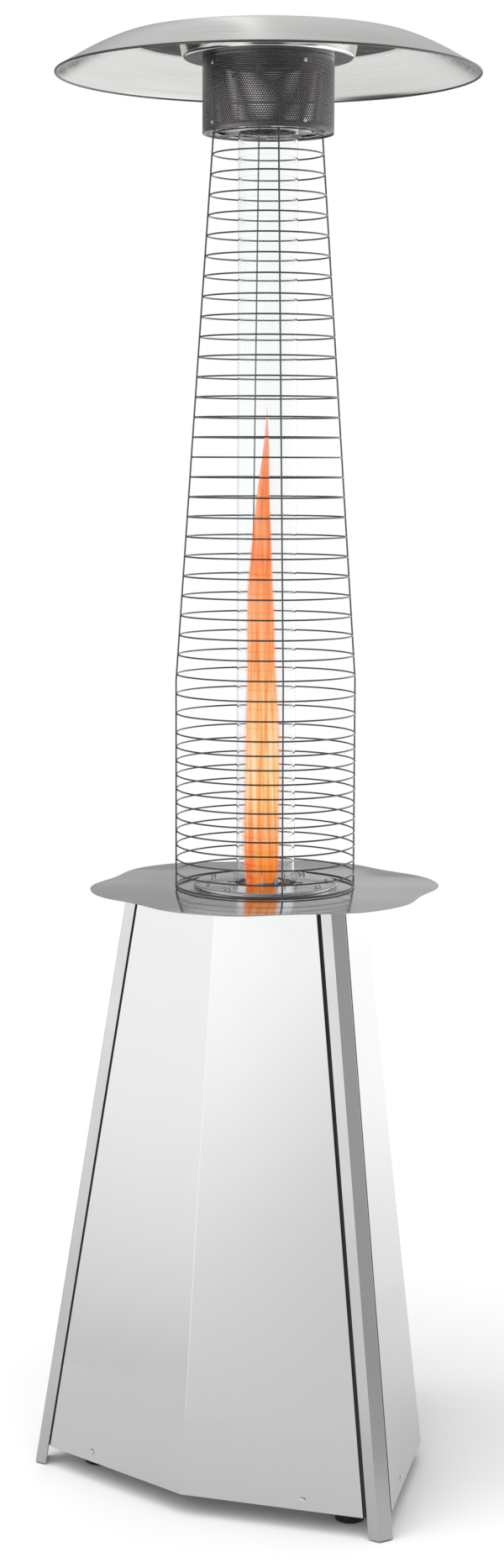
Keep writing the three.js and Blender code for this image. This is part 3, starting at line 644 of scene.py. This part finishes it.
def make_gap_shade_strips():
    """Black strips on the folded edges of panels, door and fascia, where they face the posts: painted
    shade that darkens the gaps between sheets and posts.
    """
    for node, name, crease, body, thick in (
            ("panel_left", "gap_shade_strips_left", -60, "heater", GAP_SHADE_STRIP),
            ("panel_right", "gap_shade_strips_right", 60, "heater", GAP_SHADE_STRIP),
            ("rear_door", "gap_shade_strips_door", 180, "door", DOOR_SHADE_STRIP),
            ("control_fascia", "gap_shade_strips_fascia", 180, "heater", GAP_SHADE_STRIP)):
        shape = Shape()
        for side in (-1, 1):
            low, high, normal = folded_edge(node, crease, side)
            rows = []
            for outer, inner in (low, high):
                start = outer.lerp(inner, SHADE_STRIP_RECESS)
                rows.append([start + normal * SHADE_STRIP_LIFT, start.lerp(inner, SHADE_STRIP_TAPER) + normal * thick,
                             inner.lerp(start, SHADE_STRIP_TAPER) + normal * thick, inner + normal * SHADE_STRIP_LIFT])
            made = shape.rows(rows)
            shape.faces += [made[0][::-1], made[1]]
        shape.piece(name, "rubber_parts", body=body, sharp=30)


make_base()
make_feet()
make_panel_screws()
make_gap_shade_strips()


# ------------------------------------------------------------------ door and controls

def make_door_fittings():
    refined("door_handle", "door_pull", bevel=0.0, sharp=50)
    for level in ("lower", "upper"):
        refined(f"hinge_barrel_{level}", f"hinge_knuckle_{level}", bevel=0.25 * MM, sharp=40)
        refined(f"hinge_pin_{level}", f"hinge_leaf_{level}", bevel=0.25 * MM, sharp=40)
    refined("door_magnet", "magnet_catch", bevel=0.8 * MM)


def make_controls():
    for node, name, bevel in (
            ("control_knob", "knob_grip", 0.7), ("igniter_body", "igniter_bezel", 0.4),
            ("igniter_button", "igniter_cap", 0.9), ("valve_stem", "valve_spindle", 0.4),
            ("gas_valve", "valve_block", 0.9), ("gas_inlet", "inlet_barb", 0.3),
            ("tilt_switch", "tilt_switch_case", 1.0)):
        refined(node, name, bevel=bevel * MM, sharp=38)


make_door_fittings()
make_controls()


# ------------------------------------------------------------------ table and burner

TABLE_LOBES = 6
TABLE_NOTCH = 0.929  # notch radius over lobe radius
TABLE_SPAN = 0.9988  # half the sheet's width over its lobe radius
LOBE_STEPS = 48
BOX_FLANGE = 15 * MM  # of the burner box, under the sheet


def make_table():
    """Lobed sheet with a rounded edge and a round hole for the burner box."""
    low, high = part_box("table_top")
    lobe = width_of("table_top") / 2 / TABLE_SPAN
    hole = width_of("burner_box") / 2 - BOX_FLANGE
    steps = LOBE_STEPS * TABLE_LOBES

    def edge(z, inset):
        points = []
        for i in range(steps):
            notch = ((1 + math.cos(math.tau * i / steps * TABLE_LOBES)) / 2) ** 1.5
            radius = lobe * (1 - (1 - TABLE_NOTCH) * notch) - inset
            points.append(polar(radius, TWIST + 360 * i / steps, z))
        return points

    half = (high.z - low.z) / 2
    rows = [circle(hole, low.z, steps, TWIST)]
    for i in range(7):
        angle = math.radians(-90 + 30 * i)
        rows.append(edge(low.z + half * (1 + math.sin(angle)), half * (1 - math.cos(angle))))
    rows.append(circle(hole, high.z, steps, TWIST))
    shape = Shape()
    shape.rows(rows, looped=True)
    shape.piece("table_sheet", "table_steel", replaces=["table_top"], sharp=50)


DECK_HOLE = 52.5 * MM
DECK_SHEET = 1.5 * MM
DECK_ROLL = 3 * MM
DECK_EASE = 0.6 * MM
BOLT_CIRCLE = 106 * MM
BOLT_PAIRS = (48, 83, 132, 228, 277, 312)  # bearings from the first notch
BOLT_ASIDE = 2.6  # bearing of each bolt from the middle of its pair


def make_deck():
    """Round cover plate with a rolled edge, and pairs of bolts through it."""
    low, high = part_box("burner_deck")
    outer = width_of("burner_deck") / 2
    under = high.z - DECK_SHEET
    bend = high.z - DECK_ROLL
    Shape().revolve([
        (DECK_HOLE, under), (outer - DECK_ROLL, under), (outer - DECK_SHEET, bend - DECK_SHEET),
        (outer - DECK_SHEET, low.z), (outer, low.z), (outer, bend),
        *arc((outer - DECK_ROLL, bend), DECK_ROLL, 15, 90, 6), (DECK_HOLE + DECK_EASE, high.z),
        (DECK_HOLE, high.z - DECK_EASE)], 144, looped=True).piece(
            "burner_cover", "table_steel", replaces=["burner_deck"], sharp=40)
    bolts = Shape()
    bolt = hex_bolt(3.6 * MM, 3.6 * MM, 4.6 * MM)
    for bearing in BOLT_PAIRS:
        for aside in (-BOLT_ASIDE, BOLT_ASIDE):
            spot = polar(BOLT_CIRCLE, TWIST + bearing + aside, high.z)
            bolts.copy_in(bolt, Matrix.Translation(spot))
    bolts.piece("cover_bolts", "fittings", sharp=30)


def make_burner():
    for node, bevel in (
            ("burner_box", 0.4), ("burner_head", 0.25), ("venturi", 0.2), ("burner_bracket", 0.3),
            ("injector", 0.3), ("pilot_burner", 0.2), ("thermocouple", 0.2),
            ("spark_electrode", 0.2), ("tube_seat", 0.3), ("tube_gasket", 0.3),
            ("tube_clip_right", 0.3), ("tube_clip_left", 0.3)):
        refined(node, node + "_part", bevel=bevel * MM, sharp=38)
    refined("gas_pipe", "gas_pipe_bent", bevel=0.0, sharp=70)


make_table()
make_deck()
make_burner()


# ------------------------------------------------------------------ flame tube and flame

TUBE_WALL = 2.5 * MM


def make_tube():
    outer = width_of("glass_tube") / 2
    inner = outer - TUBE_WALL
    lip = 0.6 * MM
    low, high = tube_low.z, tube_high.z
    Shape().revolve([
        (inner, low + lip), (inner + lip, low), (outer - lip, low), (outer, low + lip),
        (outer, high - lip), (outer - lip, high), (inner + lip, high), (inner, high - lip)],
        128, looped=True).piece("flame_tube", "quartz_glass", replaces=["glass_tube"], sharp=30)


FLAME_PROFILE = [  # height, half width and how far it leans aside
    (1.036, 0.0275, 0.006), (1.060, 0.0300, 0.006), (1.096, 0.0322, 0.006), (1.162, 0.0325, 0.006),
    (1.242, 0.0318, 0.006), (1.336, 0.0295, 0.007), (1.424, 0.0254, 0.0095), (1.533, 0.0238, 0.0105),
    (1.584, 0.0205, 0.009), (1.642, 0.0162, 0.007), (1.715, 0.0108, 0.0055), (1.773, 0.0062, 0.002),
    (1.817, 0.0028, 0.0005), (FLAME_HIGH, 0.0, 0.0),
]
FLAME_LEANS = -120  # bearing
FLAME_SIDES = 48


def flame_rows(swell):
    """Rings of a round column that ripples a little. swell widens it."""
    rows = []
    for half, aside, z in catmull([(half, lean, z) for z, half, lean in FLAME_PROFILE], 5):
        rise = (z - FLAME_LOW) / (FLAME_HIGH - FLAME_LOW)
        middle = polar(max(0, aside), FLAME_LEANS, z)
        row = []
        for i in range(FLAME_SIDES):
            turn = math.tau * i / FLAME_SIDES
            ripple = 1 + 0.05 * math.sin(3 * turn + rise * 11) + 0.03 * math.sin(5 * turn - rise * 17)
            row.append(middle + polar(max(half, 0.3 * MM) * ripple * swell, math.degrees(turn), 0))
        rows.append(row)
    return rows


def make_flame():
    """A still flame with a thin sheath. It leans a little and ends in a wisp."""
    for name, swell, stops, low, high in (
            ("flame", 0.88, FLAME_CORE, 0.45, 1.0), ("flame_sheath", 1.0, FLAME_SHEATH, 0.10, 0.34)):
        rows = flame_rows(swell)
        base = [sum(rows[0], Vector()) / FLAME_SIDES]
        tip = [sum(rows[-1], Vector()) / FLAME_SIDES]
        shape = Shape()
        shape.rows([base, *rows, tip])
        shape.piece(name, None, sharp=180, surface=flame_surface(name, stops, low, high))


make_tube()
make_flame()


# ------------------------------------------------------------------ wire guard

guard_low, guard_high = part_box("wire_guard")
GUARD_WIRE = 1.5 * MM
GUARD_FOOT_WIRE = 2.2 * MM
GUARD_FOOT = guard_low.z + 0.9 * GUARD_FOOT_WIRE
GUARD_TOP = guard_high.z - 0.9 * GUARD_WIRE
GUARD_KNEE = 1390 * MM
GUARD_RADIUS = 153 * MM
GUARD_TOP_RADIUS = 90 * MM
KNEE_BEND = 12 * MM  # how far from the knee the upright wires start to bend
CLOSE_RINGS = 11
CLOSE_PITCH = 24.1 * MM
WIDE_RINGS = 30
UPRIGHTS = 4
WELD_BLOB = [(-2.1, 0.35), (-1.2, 1.1), (0, 1.45), (1.2, 1.1), (2.1, 0.35)]  # place and radius, mm


def guard_radius(z):
    """Radius of the rings' middle at a height."""
    fall = max(0.0, z - GUARD_KNEE) / (GUARD_TOP - GUARD_KNEE)
    return GUARD_RADIUS - (GUARD_RADIUS - GUARD_TOP_RADIUS) * fall


def ring_heights():
    first = GUARD_FOOT - 1.4 * MM
    close = [first + CLOSE_PITCH * i for i in range(1, CLOSE_RINGS + 1)]
    pitch = (GUARD_TOP - close[-1]) / WIDE_RINGS
    return close + [close[-1] + pitch * i for i in range(1, WIDE_RINGS + 1)]


def make_guard():
    """Rings of round wire on upright wires, with a small weld at each crossing."""
    shape = Shape()
    shape.hoop(GUARD_RADIUS, GUARD_FOOT, GUARD_FOOT_WIRE * 0.9, 128, 10)
    for z in ring_heights():
        shape.hoop(guard_radius(z), z, GUARD_WIRE * 0.95, 96, 8)
    aside = 1.7 * GUARD_WIRE
    knee = [GUARD_KNEE - KNEE_BEND, GUARD_KNEE, GUARD_KNEE + KNEE_BEND]
    heights = [GUARD_FOOT - MM, *knee, GUARD_TOP + MM]
    for i in range(UPRIGHTS):
        bearing = TWIST + 360 / UPRIGHTS * i
        side = polar(1, bearing + 90, 0)
        shape.pipe([polar(guard_radius(z) + aside, bearing, z) for z in heights], GUARD_WIRE, 10)
        for z in [GUARD_FOOT, *ring_heights()]:
            spot = polar(guard_radius(z) + 0.55 * aside, bearing, z)
            shape.pipe([spot + side * (d * MM) for d, _ in WELD_BLOB], [r * MM for _, r in WELD_BLOB], 6)
    shape.piece("guard_cage", "guard_wire", replaces=["wire_guard"], sharp=60)


make_guard()


# ------------------------------------------------------------------ exhaust head

head_low, head_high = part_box("head_cylinder")
HEAD_RADIUS = (head_high.x - head_low.x) / 2
MESH_COLUMNS = 165
MESH_SHEET = 0.8 * MM
MESH_HOLE = 0.52  # hole over cell
HEM = 5.5 * MM
HEM_DEPTH = 1.4 * MM
SEAM_BEARING = 178
HEAD_SCREW_BEARING = TWIST + 22.5 - 90  # the first of four columns of screws


def make_head_mesh():
    """Sheet of small six-sided holes rolled into a cylinder, stopping short of each end where the hems
    go.
    """
    pitch = math.tau * HEAD_RADIUS / MESH_COLUMNS
    cell = pitch / math.sqrt(3)
    low, high = head_low.z + HEM * 0.6, head_high.z - HEM * 0.6
    rows = round((high - low) / (1.5 * cell))
    step = (high - low) / rows
    shape = Shape()
    corners = [(math.sin(math.tau * k / 6), math.cos(math.tau * k / 6)) for k in range(6)]
    for r in range(rows):
        z = low + (r + 0.5) * step
        for c in range(MESH_COLUMNS):
            middle = (c + (r % 2) / 2) * pitch
            rings = []
            for size in (cell, cell * MESH_HOLE):
                rings.append(shape.row([
                    polar(HEAD_RADIUS - 0.1 * MM, math.degrees((middle + x * size) / HEAD_RADIUS),
                          z + y * size * step / (1.5 * cell)) for x, y in corners]))
            shape.bridge(*rings)
    shape.piece("head_mesh", "head_perforated", replaces=["head_cylinder"], sharp=60, merge=True,
                thick=MESH_SHEET)


def make_head_hems():
    """Plain bands round both ends, the seam at the back, and the screws."""
    shape = Shape()
    inner = HEAD_RADIUS - HEM_DEPTH
    lip = 0.4 * MM
    for low, high in ((head_low.z, head_low.z + HEM), (head_high.z - HEM, head_high.z)):
        shape.revolve([(inner, low), (HEAD_RADIUS - lip, low), (HEAD_RADIUS, low + lip),
                       (HEAD_RADIUS, high - lip), (HEAD_RADIUS - lip, high), (inner, high)],
                      128, looped=True)
    seam = [polar(HEAD_RADIUS - 0.2 * MM, SEAM_BEARING, z) for z in (head_low.z, head_high.z)]
    shape.pipe(seam, 1.0 * MM, 8)
    shape.piece("head_hems", "head_perforated", sharp=40)
    screws = Shape()
    head = pan_screw(3.6 * MM, 2.2 * MM, 1.0 * MM)
    for quarter in range(4):
        bearing = HEAD_SCREW_BEARING + 90 * quarter
        out = polar(1, bearing, 0)
        for z in (head_low.z + 12 * MM, head_high.z - 14 * MM):
            screws.copy_in(head, frame_on(polar(HEAD_RADIUS - 0.3 * MM, bearing, z), out))
    screws.piece("head_screws", "fittings", sharp=30)


VENTS = 8
VENT_HALF = 15.0  # degrees
VENT_ENDS = 1.5  # degrees by which a vent's edges are shorter, which rounds its ends
COLLAR_RADIUS = 51 * MM
PLATE_SHEET = 1.5 * MM
PLATE_RIM = 9.5 * MM


def make_head_plate():
    """Bottom plate of the head with arc-shaped vents and a collar round the tube."""
    low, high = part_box("head_plate")
    outer = width_of("head_plate") / 2
    pitch = 360 / VENTS
    segments = 240
    shape = Shape()
    radii = [COLLAR_RADIUS, 54 * MM, 73 * MM, 74 * MM, 86 * MM, 87 * MM, outer - 1.5 * MM, outer]
    open_to = {2: VENT_HALF - VENT_ENDS, 3: VENT_HALF, 4: VENT_HALF - VENT_ENDS}
    rows = [shape.row(circle(radius, low.z + PLATE_SHEET, segments, TWIST)) for radius in radii]
    for k, (inner, outside) in enumerate(zip(rows, rows[1:])):
        for i in range(segments):
            off = abs(360 * (i + 0.5) / segments % pitch - pitch / 2)
            if off < open_to.get(k, 0):
                continue
            j = (i + 1) % segments
            shape.faces.append([inner[i], inner[j], outside[j], outside[i]])
    shape.bridge(rows[0], shape.row(circle(COLLAR_RADIUS, high.z, segments, TWIST)))
    shape.bridge(rows[-1], shape.row(circle(outer, low.z + PLATE_RIM, segments, TWIST)))
    shape.piece("head_floor", "fittings", replaces=["head_plate"], sharp=35, thick=1.2 * MM)


make_head_mesh()
make_head_hems()
make_head_plate()


# ------------------------------------------------------------------ reflector

DISH_RADIUS = width_of("reflector_dish") / 2
DISH_RIPPLES = 5
DISH_SLOPE = 9 * MM  # how much narrower the dish is at its foot
DISH_KNUCKLE = 5 * MM


def make_dish():
    """Bright shallow pan between head and reflector, its wall spun in fine steps."""
    low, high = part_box("reflector_dish")
    foot = DISH_RADIUS - DISH_SLOPE
    start = foot + 1.5 * MM
    rise = 6 * MM
    sheet = 1.2 * MM
    steps = 60
    wall = []
    for i in range(steps + 1):
        share = i / steps
        flare = start + (DISH_RADIUS - start) * share ** 1.15
        ripple = 0.1 * MM * math.sin(math.tau * DISH_RIPPLES * share)
        wall.append((flare + min(0, ripple), low.z + rise + (high.z - low.z - rise) * share))
    bend = foot - 4 * MM
    knuckle = arc((bend, low.z + DISH_KNUCKLE), DISH_KNUCKLE, -90, -15, 6)
    outer = [(0, low.z), (bend, low.z), *knuckle, *wall]
    inner = [(max(0, r - sheet), z + sheet * 0.6) for r, z in reversed(outer)]
    inner[0] = (DISH_RADIUS - sheet, high.z)
    Shape().revolve([*outer, *inner[:-1], (0, low.z + sheet)], 160).piece(
        "polished_dish", "dish_chrome", replaces=["reflector_dish"], sharp=40)


REFLECTOR_SHEET = 1.2 * MM
CROWN_RADIUS = 235 * MM
BEAD_RADIUS = 1.9 * MM


def make_reflector():
    """Spun shell with a flat crown, its rolled rim in near-black steel as a painted dark reflection, and
    a near-black ring about the dish as painted shade under the crown.
    """
    low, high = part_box("reflector")
    rim = width_of("reflector") / 2
    rim_z = low.z + 3.4 * MM
    top = high.z
    brim = [(p.x, p.z) for p in catmull([
        (CROWN_RADIUS - 30 * MM, 0, top), (CROWN_RADIUS, 0, top), (258 * MM, 0, top - 5.7 * MM),
        (299 * MM, 0, top - 24 * MM), (rim - 3 * MM, 0, rim_z + 1.2 * MM)], 8)]
    centre = (rim - BEAD_RADIUS, rim_z - 1.3 * MM)
    roll = arc(centre, BEAD_RADIUS - 0.4 * MM, 75, -200, 12)
    outside = [*((radius * MM, top) for radius in (0, 60, 120, 180)), *brim]
    inside = [(max(r - 0.3 * MM, 0), z - REFLECTOR_SHEET) for r, z in reversed(outside)]
    Shape().revolve([*outside, *roll, *inside[1:]], 220).piece(
        "reflector_spinning", "reflector_steel", replaces=["reflector"], sharp=60)
    # The rolled rim is near-black steel: a painted dark reflection along the rim's lower edge, where
    # bare steel would mirror the studio.
    dark = brushed_metal("rim_painted_dark", (0.12, 0.118, 0.115), 0.3, 900, tone=0.05, blur=0.05, depth=0.002)
    Shape().revolve(arc(centre, BEAD_RADIUS, 0, 345, 16), 220, looped=True).piece(
        "reflector_rim", "reflector_steel", sharp=60, surface=dark)
    # The near-black ring under the crown about the dish is painted shade on the crown's underside.
    under = top - REFLECTOR_SHEET
    face = under - 0.2 * MM
    ring = [(DISH_RADIUS + 2 * MM, face), (CROWN_RADIUS - 2 * MM, face),
            (CROWN_RADIUS - 1.8 * MM, under), (DISH_RADIUS + 2 * MM, under)]
    crown_shade = speckled("crown_painted_shade", (0.055, 0.051, 0.049), 0.4, scale=40, depth=0.01, spread=0.5)
    crown_shade.set(Specular_IOR_Level=0.03)
    Shape().revolve(ring, 160, looped=True).piece("crown_shade_ring", "reflector_steel", surface=crown_shade)


STUD_RADIUS = 3 * MM
THREAD_ROOT = 2.6 * MM
STUD_THREADS = 14


def make_studs():
    """Threaded studs through the dish and the crown, each with a cap nut on a washer."""
    dish_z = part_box("reflector_dish")[0].z
    crown_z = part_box("reflector")[1].z
    for side in ("front", "right", "back", "left"):
        low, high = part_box(f"reflector_stud_{side}")
        spot = Matrix.Translation((*((low + high) / 2 - TOWER).xy, 0))
        stud = Shape()
        body = [(0, dish_z - 1 * MM), (STUD_RADIUS, dish_z - 1 * MM)]
        for t in range(STUD_THREADS):
            z = dish_z + (crown_z - dish_z) * (t + 0.5) / STUD_THREADS
            body += [(THREAD_ROOT, z - 0.5 * MM), (STUD_RADIUS, z)]
        body += [(STUD_RADIUS, crown_z + 2 * MM), (0, crown_z + 2 * MM)]
        stud.copy_in(Shape().revolve(body, 20), spot)
        washer = [(0, crown_z + 0.3 * MM), (9 * MM, crown_z + 0.3 * MM), (9 * MM, crown_z + 1.6 * MM),
                  (0, crown_z + 1.6 * MM)]
        stud.copy_in(Shape().revolve(washer, 32), spot)
        nut = cap_nut(6.6 * MM, high.z - crown_z - 1.6 * MM)
        stud.copy_in(nut, spot @ Matrix.Translation((0, 0, crown_z + 1.6 * MM)))
        under = hex_bolt(6.5 * MM, dish_z - low.z - 0.3 * MM, 7.5 * MM)
        flip = Matrix.Rotation(math.pi, 4, "X")
        stud.copy_in(under, spot @ Matrix.Translation((0, 0, dish_z - 0.3 * MM)) @ flip)
        stud.piece(f"stud_and_nut_{side}", "fittings", replaces=[f"reflector_stud_{side}"], sharp=30)


make_dish()
make_reflector()
make_studs()


# ------------------------------------------------------------------ floor and light

FLOOR_RADIUS = 1.3
FLOOR_TONE = (0.93, 0.93, 0.93)


def make_floor():
    """Pale round floor about the heater."""
    surface = Surface("floor", FLOOR_TONE, 0.85)
    surface.shade(surface.noise(surface.place(), scale=2.5, detail=2), FLOOR_TONE, 0.004)
    surface.set(Specular_IOR_Level=0.0)
    mesh = bpy.data.meshes.new("floor")
    sides = 96
    rim = [point + TOWER for point in circle(FLOOR_RADIUS, 0, sides)]
    mesh.from_pydata(rim, [], [range(sides)])
    floor = bpy.data.objects.new("floor", mesh)
    mesh.materials.append(surface.material)
    scene.collection.objects.link(floor)


# What the metal mirrors: at each elevation, brightness by bearing about the tower.
STUDIO = [
    (-24, [(-180, 0.1), (-150, 0.05), (-125, 0.05), (-110, 0.12), (-102, 0.5), (-94, 1.25),
           (-70, 1.3), (-60, 0.7), (-51, 0.08), (-18, 0.04), (-11, 0.06), (-4, 0.35), (5, 0.56),
           (18, 0.56), (31, 0.15), (38, 0.3), (47, 1.5), (88, 2), (104, 1.7), (124, 1.05),
           (180, 1)]),
    (-17, [(-180, 0.1), (-132, 0.1), (-118, 0.9), (-30, 0.8), (35, 0.6), (55, 1.6), (105, 1.7),
           (125, 1), (150, 1), (180, 0.5)]),
    (-15, [(-180, 0.1), (-134, 0.1), (-120, 0.95), (-86, 0.8), (-65, 1), (-15, 0.6), (45, 0.65),
           (90, 1.1), (125, 1.1), (145, 0.6), (180, 0.6)]),
    (-11.5, [(-180, 0.1), (-138, 0.1), (-124, 0.9), (-115, 0.95), (-94, 0.75), (-86, 1.25),
             (-65, 1.08), (-15, 0.65), (45, 0.7), (90, 1.3), (112, 1.4), (128, 1.4), (140, 0.2),
             (180, 0.2)]),
    (-8.5, [(-180, 0.1), (-142, 0.1), (-126, 1.1), (-115, 1.4), (-88, 1.85), (-66, 1.16),
            (-45, 0.8), (-15, 0.65), (40, 0.7), (70, 1.5), (112, 1.5), (128, 1.45), (138, 0.15),
            (165, 0.1), (180, 0.15)]),
    (-5, [(-180, 0.7), (-140, 1.2), (-115, 1.7), (-88, 2), (-67, 1.5), (-62, 1.15), (-42, 0.9),
          (-15, 0.65), (40, 0.72), (62, 1.7), (112, 1.8), (128, 1.7), (140, 0.5), (180, 0.5)]),
    (-2, [(-180, 0.7), (-140, 1.4), (-115, 1.75), (-88, 2), (-66.5, 1.85), (-62, 1.35),
          (-42, 0.9), (-15, 0.6), (40, 0.65), (62, 1.7), (112, 1.8), (128, 1.7), (140, 0.5),
          (180, 0.5)]),
    (2, [(-180, 0.7), (-140, 1.4), (-115, 1.85), (-88, 2.1), (-66.5, 2.1), (-62, 1.8),
         (-42, 1.1), (-15, 0.7), (20, 0.8), (40, 0.9), (62, 1.7), (112, 1.8), (128, 1.7),
         (140, 0.5), (180, 0.5)]),
    (8, [(-180, 0.3), (-135, 0.2), (-115, 1.3), (-100, 2), (-86, 1.5), (-68, 1), (-42, 0.4),
         (-15, 0.3), (20, 0.65), (34, 0.65), (62, 1.2), (80, 1.9), (100, 0.9), (128, 0.6),
         (146, 0.62), (154, 0.45), (180, 0.4)]),
    (18, [(-180, 0.35), (-110, 0.7), (-70, 0.6), (-20, 0.35), (45, 0.35), (75, 0.9), (110, 0.6),
          (146, 0.58), (154, 0.45), (180, 0.35)]),
    (34, [(-180, 0.4), (-110, 0.4), (-30, 0.5), (100, 0.5), (128, 0.5), (140, 0.7), (150, 0.76),
          (152.5, 1.35), (155, 0.78), (166, 0.74), (180, 0.4)]),
]
BRIGHTEST = 2.1


def make_world():
    """Studio seen only in the metal and the glass; the camera itself sees plain white."""
    world = bpy.data.worlds.new("studio")
    world.use_nodes = True
    scene.world = world
    studio = Nodes(world.node_tree)
    background = studio.tree.nodes["Background"]
    background.inputs["Color"].default_value = (1, 1, 1, 1)

    def mix(factor, low, high):
        return studio.node("ShaderNodeMix", factor, (0, 0, 0), low, high).outputs[0]

    way = studio.node("ShaderNodeTexCoord").outputs["Generated"]
    x, y, z = studio.node("ShaderNodeSeparateXYZ", way).outputs
    bearing = studio.math("ARCTAN2", x, studio.math("MULTIPLY", y, -1.0))
    turn = studio.span(bearing, 0.0, 1.0, -math.pi, math.pi)
    heights = [math.sin(math.radians(elevation)) for elevation, _ in STUDIO]
    rings = []
    for _, stops in STUDIO:
        greys = [((at + 180) / 360, [bright / BRIGHTEST] * 3) for at, bright in stops]
        rings.append(studio.ramp(turn, greys, "EASE"))
    mirrored = rings[0]
    for low, high, ring in zip(heights, heights[1:], rings[1:]):
        mirrored = mix(studio.span(z, 0.0, 1.0, low, high), mirrored, ring)
    path = studio.node("ShaderNodeLightPath").outputs
    straight = studio.math("MAXIMUM", path["Is Camera Ray"], path["Is Transmission Ray"])
    seen = mix(straight, studio.math("MULTIPLY", mirrored, BRIGHTEST), 1.0)
    studio.tree.links.new(seen, background.inputs["Strength"])


SUN_STRENGTH = 2.4
SUN_SPREAD = 70  # degrees across
SUN_ELEVATION = 62
SUN_BEARING = CAMERA_BEARING - 30


def make_light():
    """Broad soft light from above; the metal mirrors the studio instead of it."""
    light = bpy.data.lights.new("overhead", "SUN")
    light.energy = SUN_STRENGTH
    light.angle = math.radians(SUN_SPREAD)
    lamp = bpy.data.objects.new("overhead", light)
    rise = math.radians(SUN_ELEVATION)
    toward = polar(math.cos(rise), SUN_BEARING, math.sin(rise))
    lamp.rotation_mode = "QUATERNION"
    lamp.rotation_quaternion = toward.to_track_quat("Z", "Y")
    lamp.location = TOWER + toward * 4
    lamp.visible_glossy = False
    scene.collection.objects.link(lamp)


make_floor()
make_world()
make_light()
scene.view_settings.view_transform = "Standard"
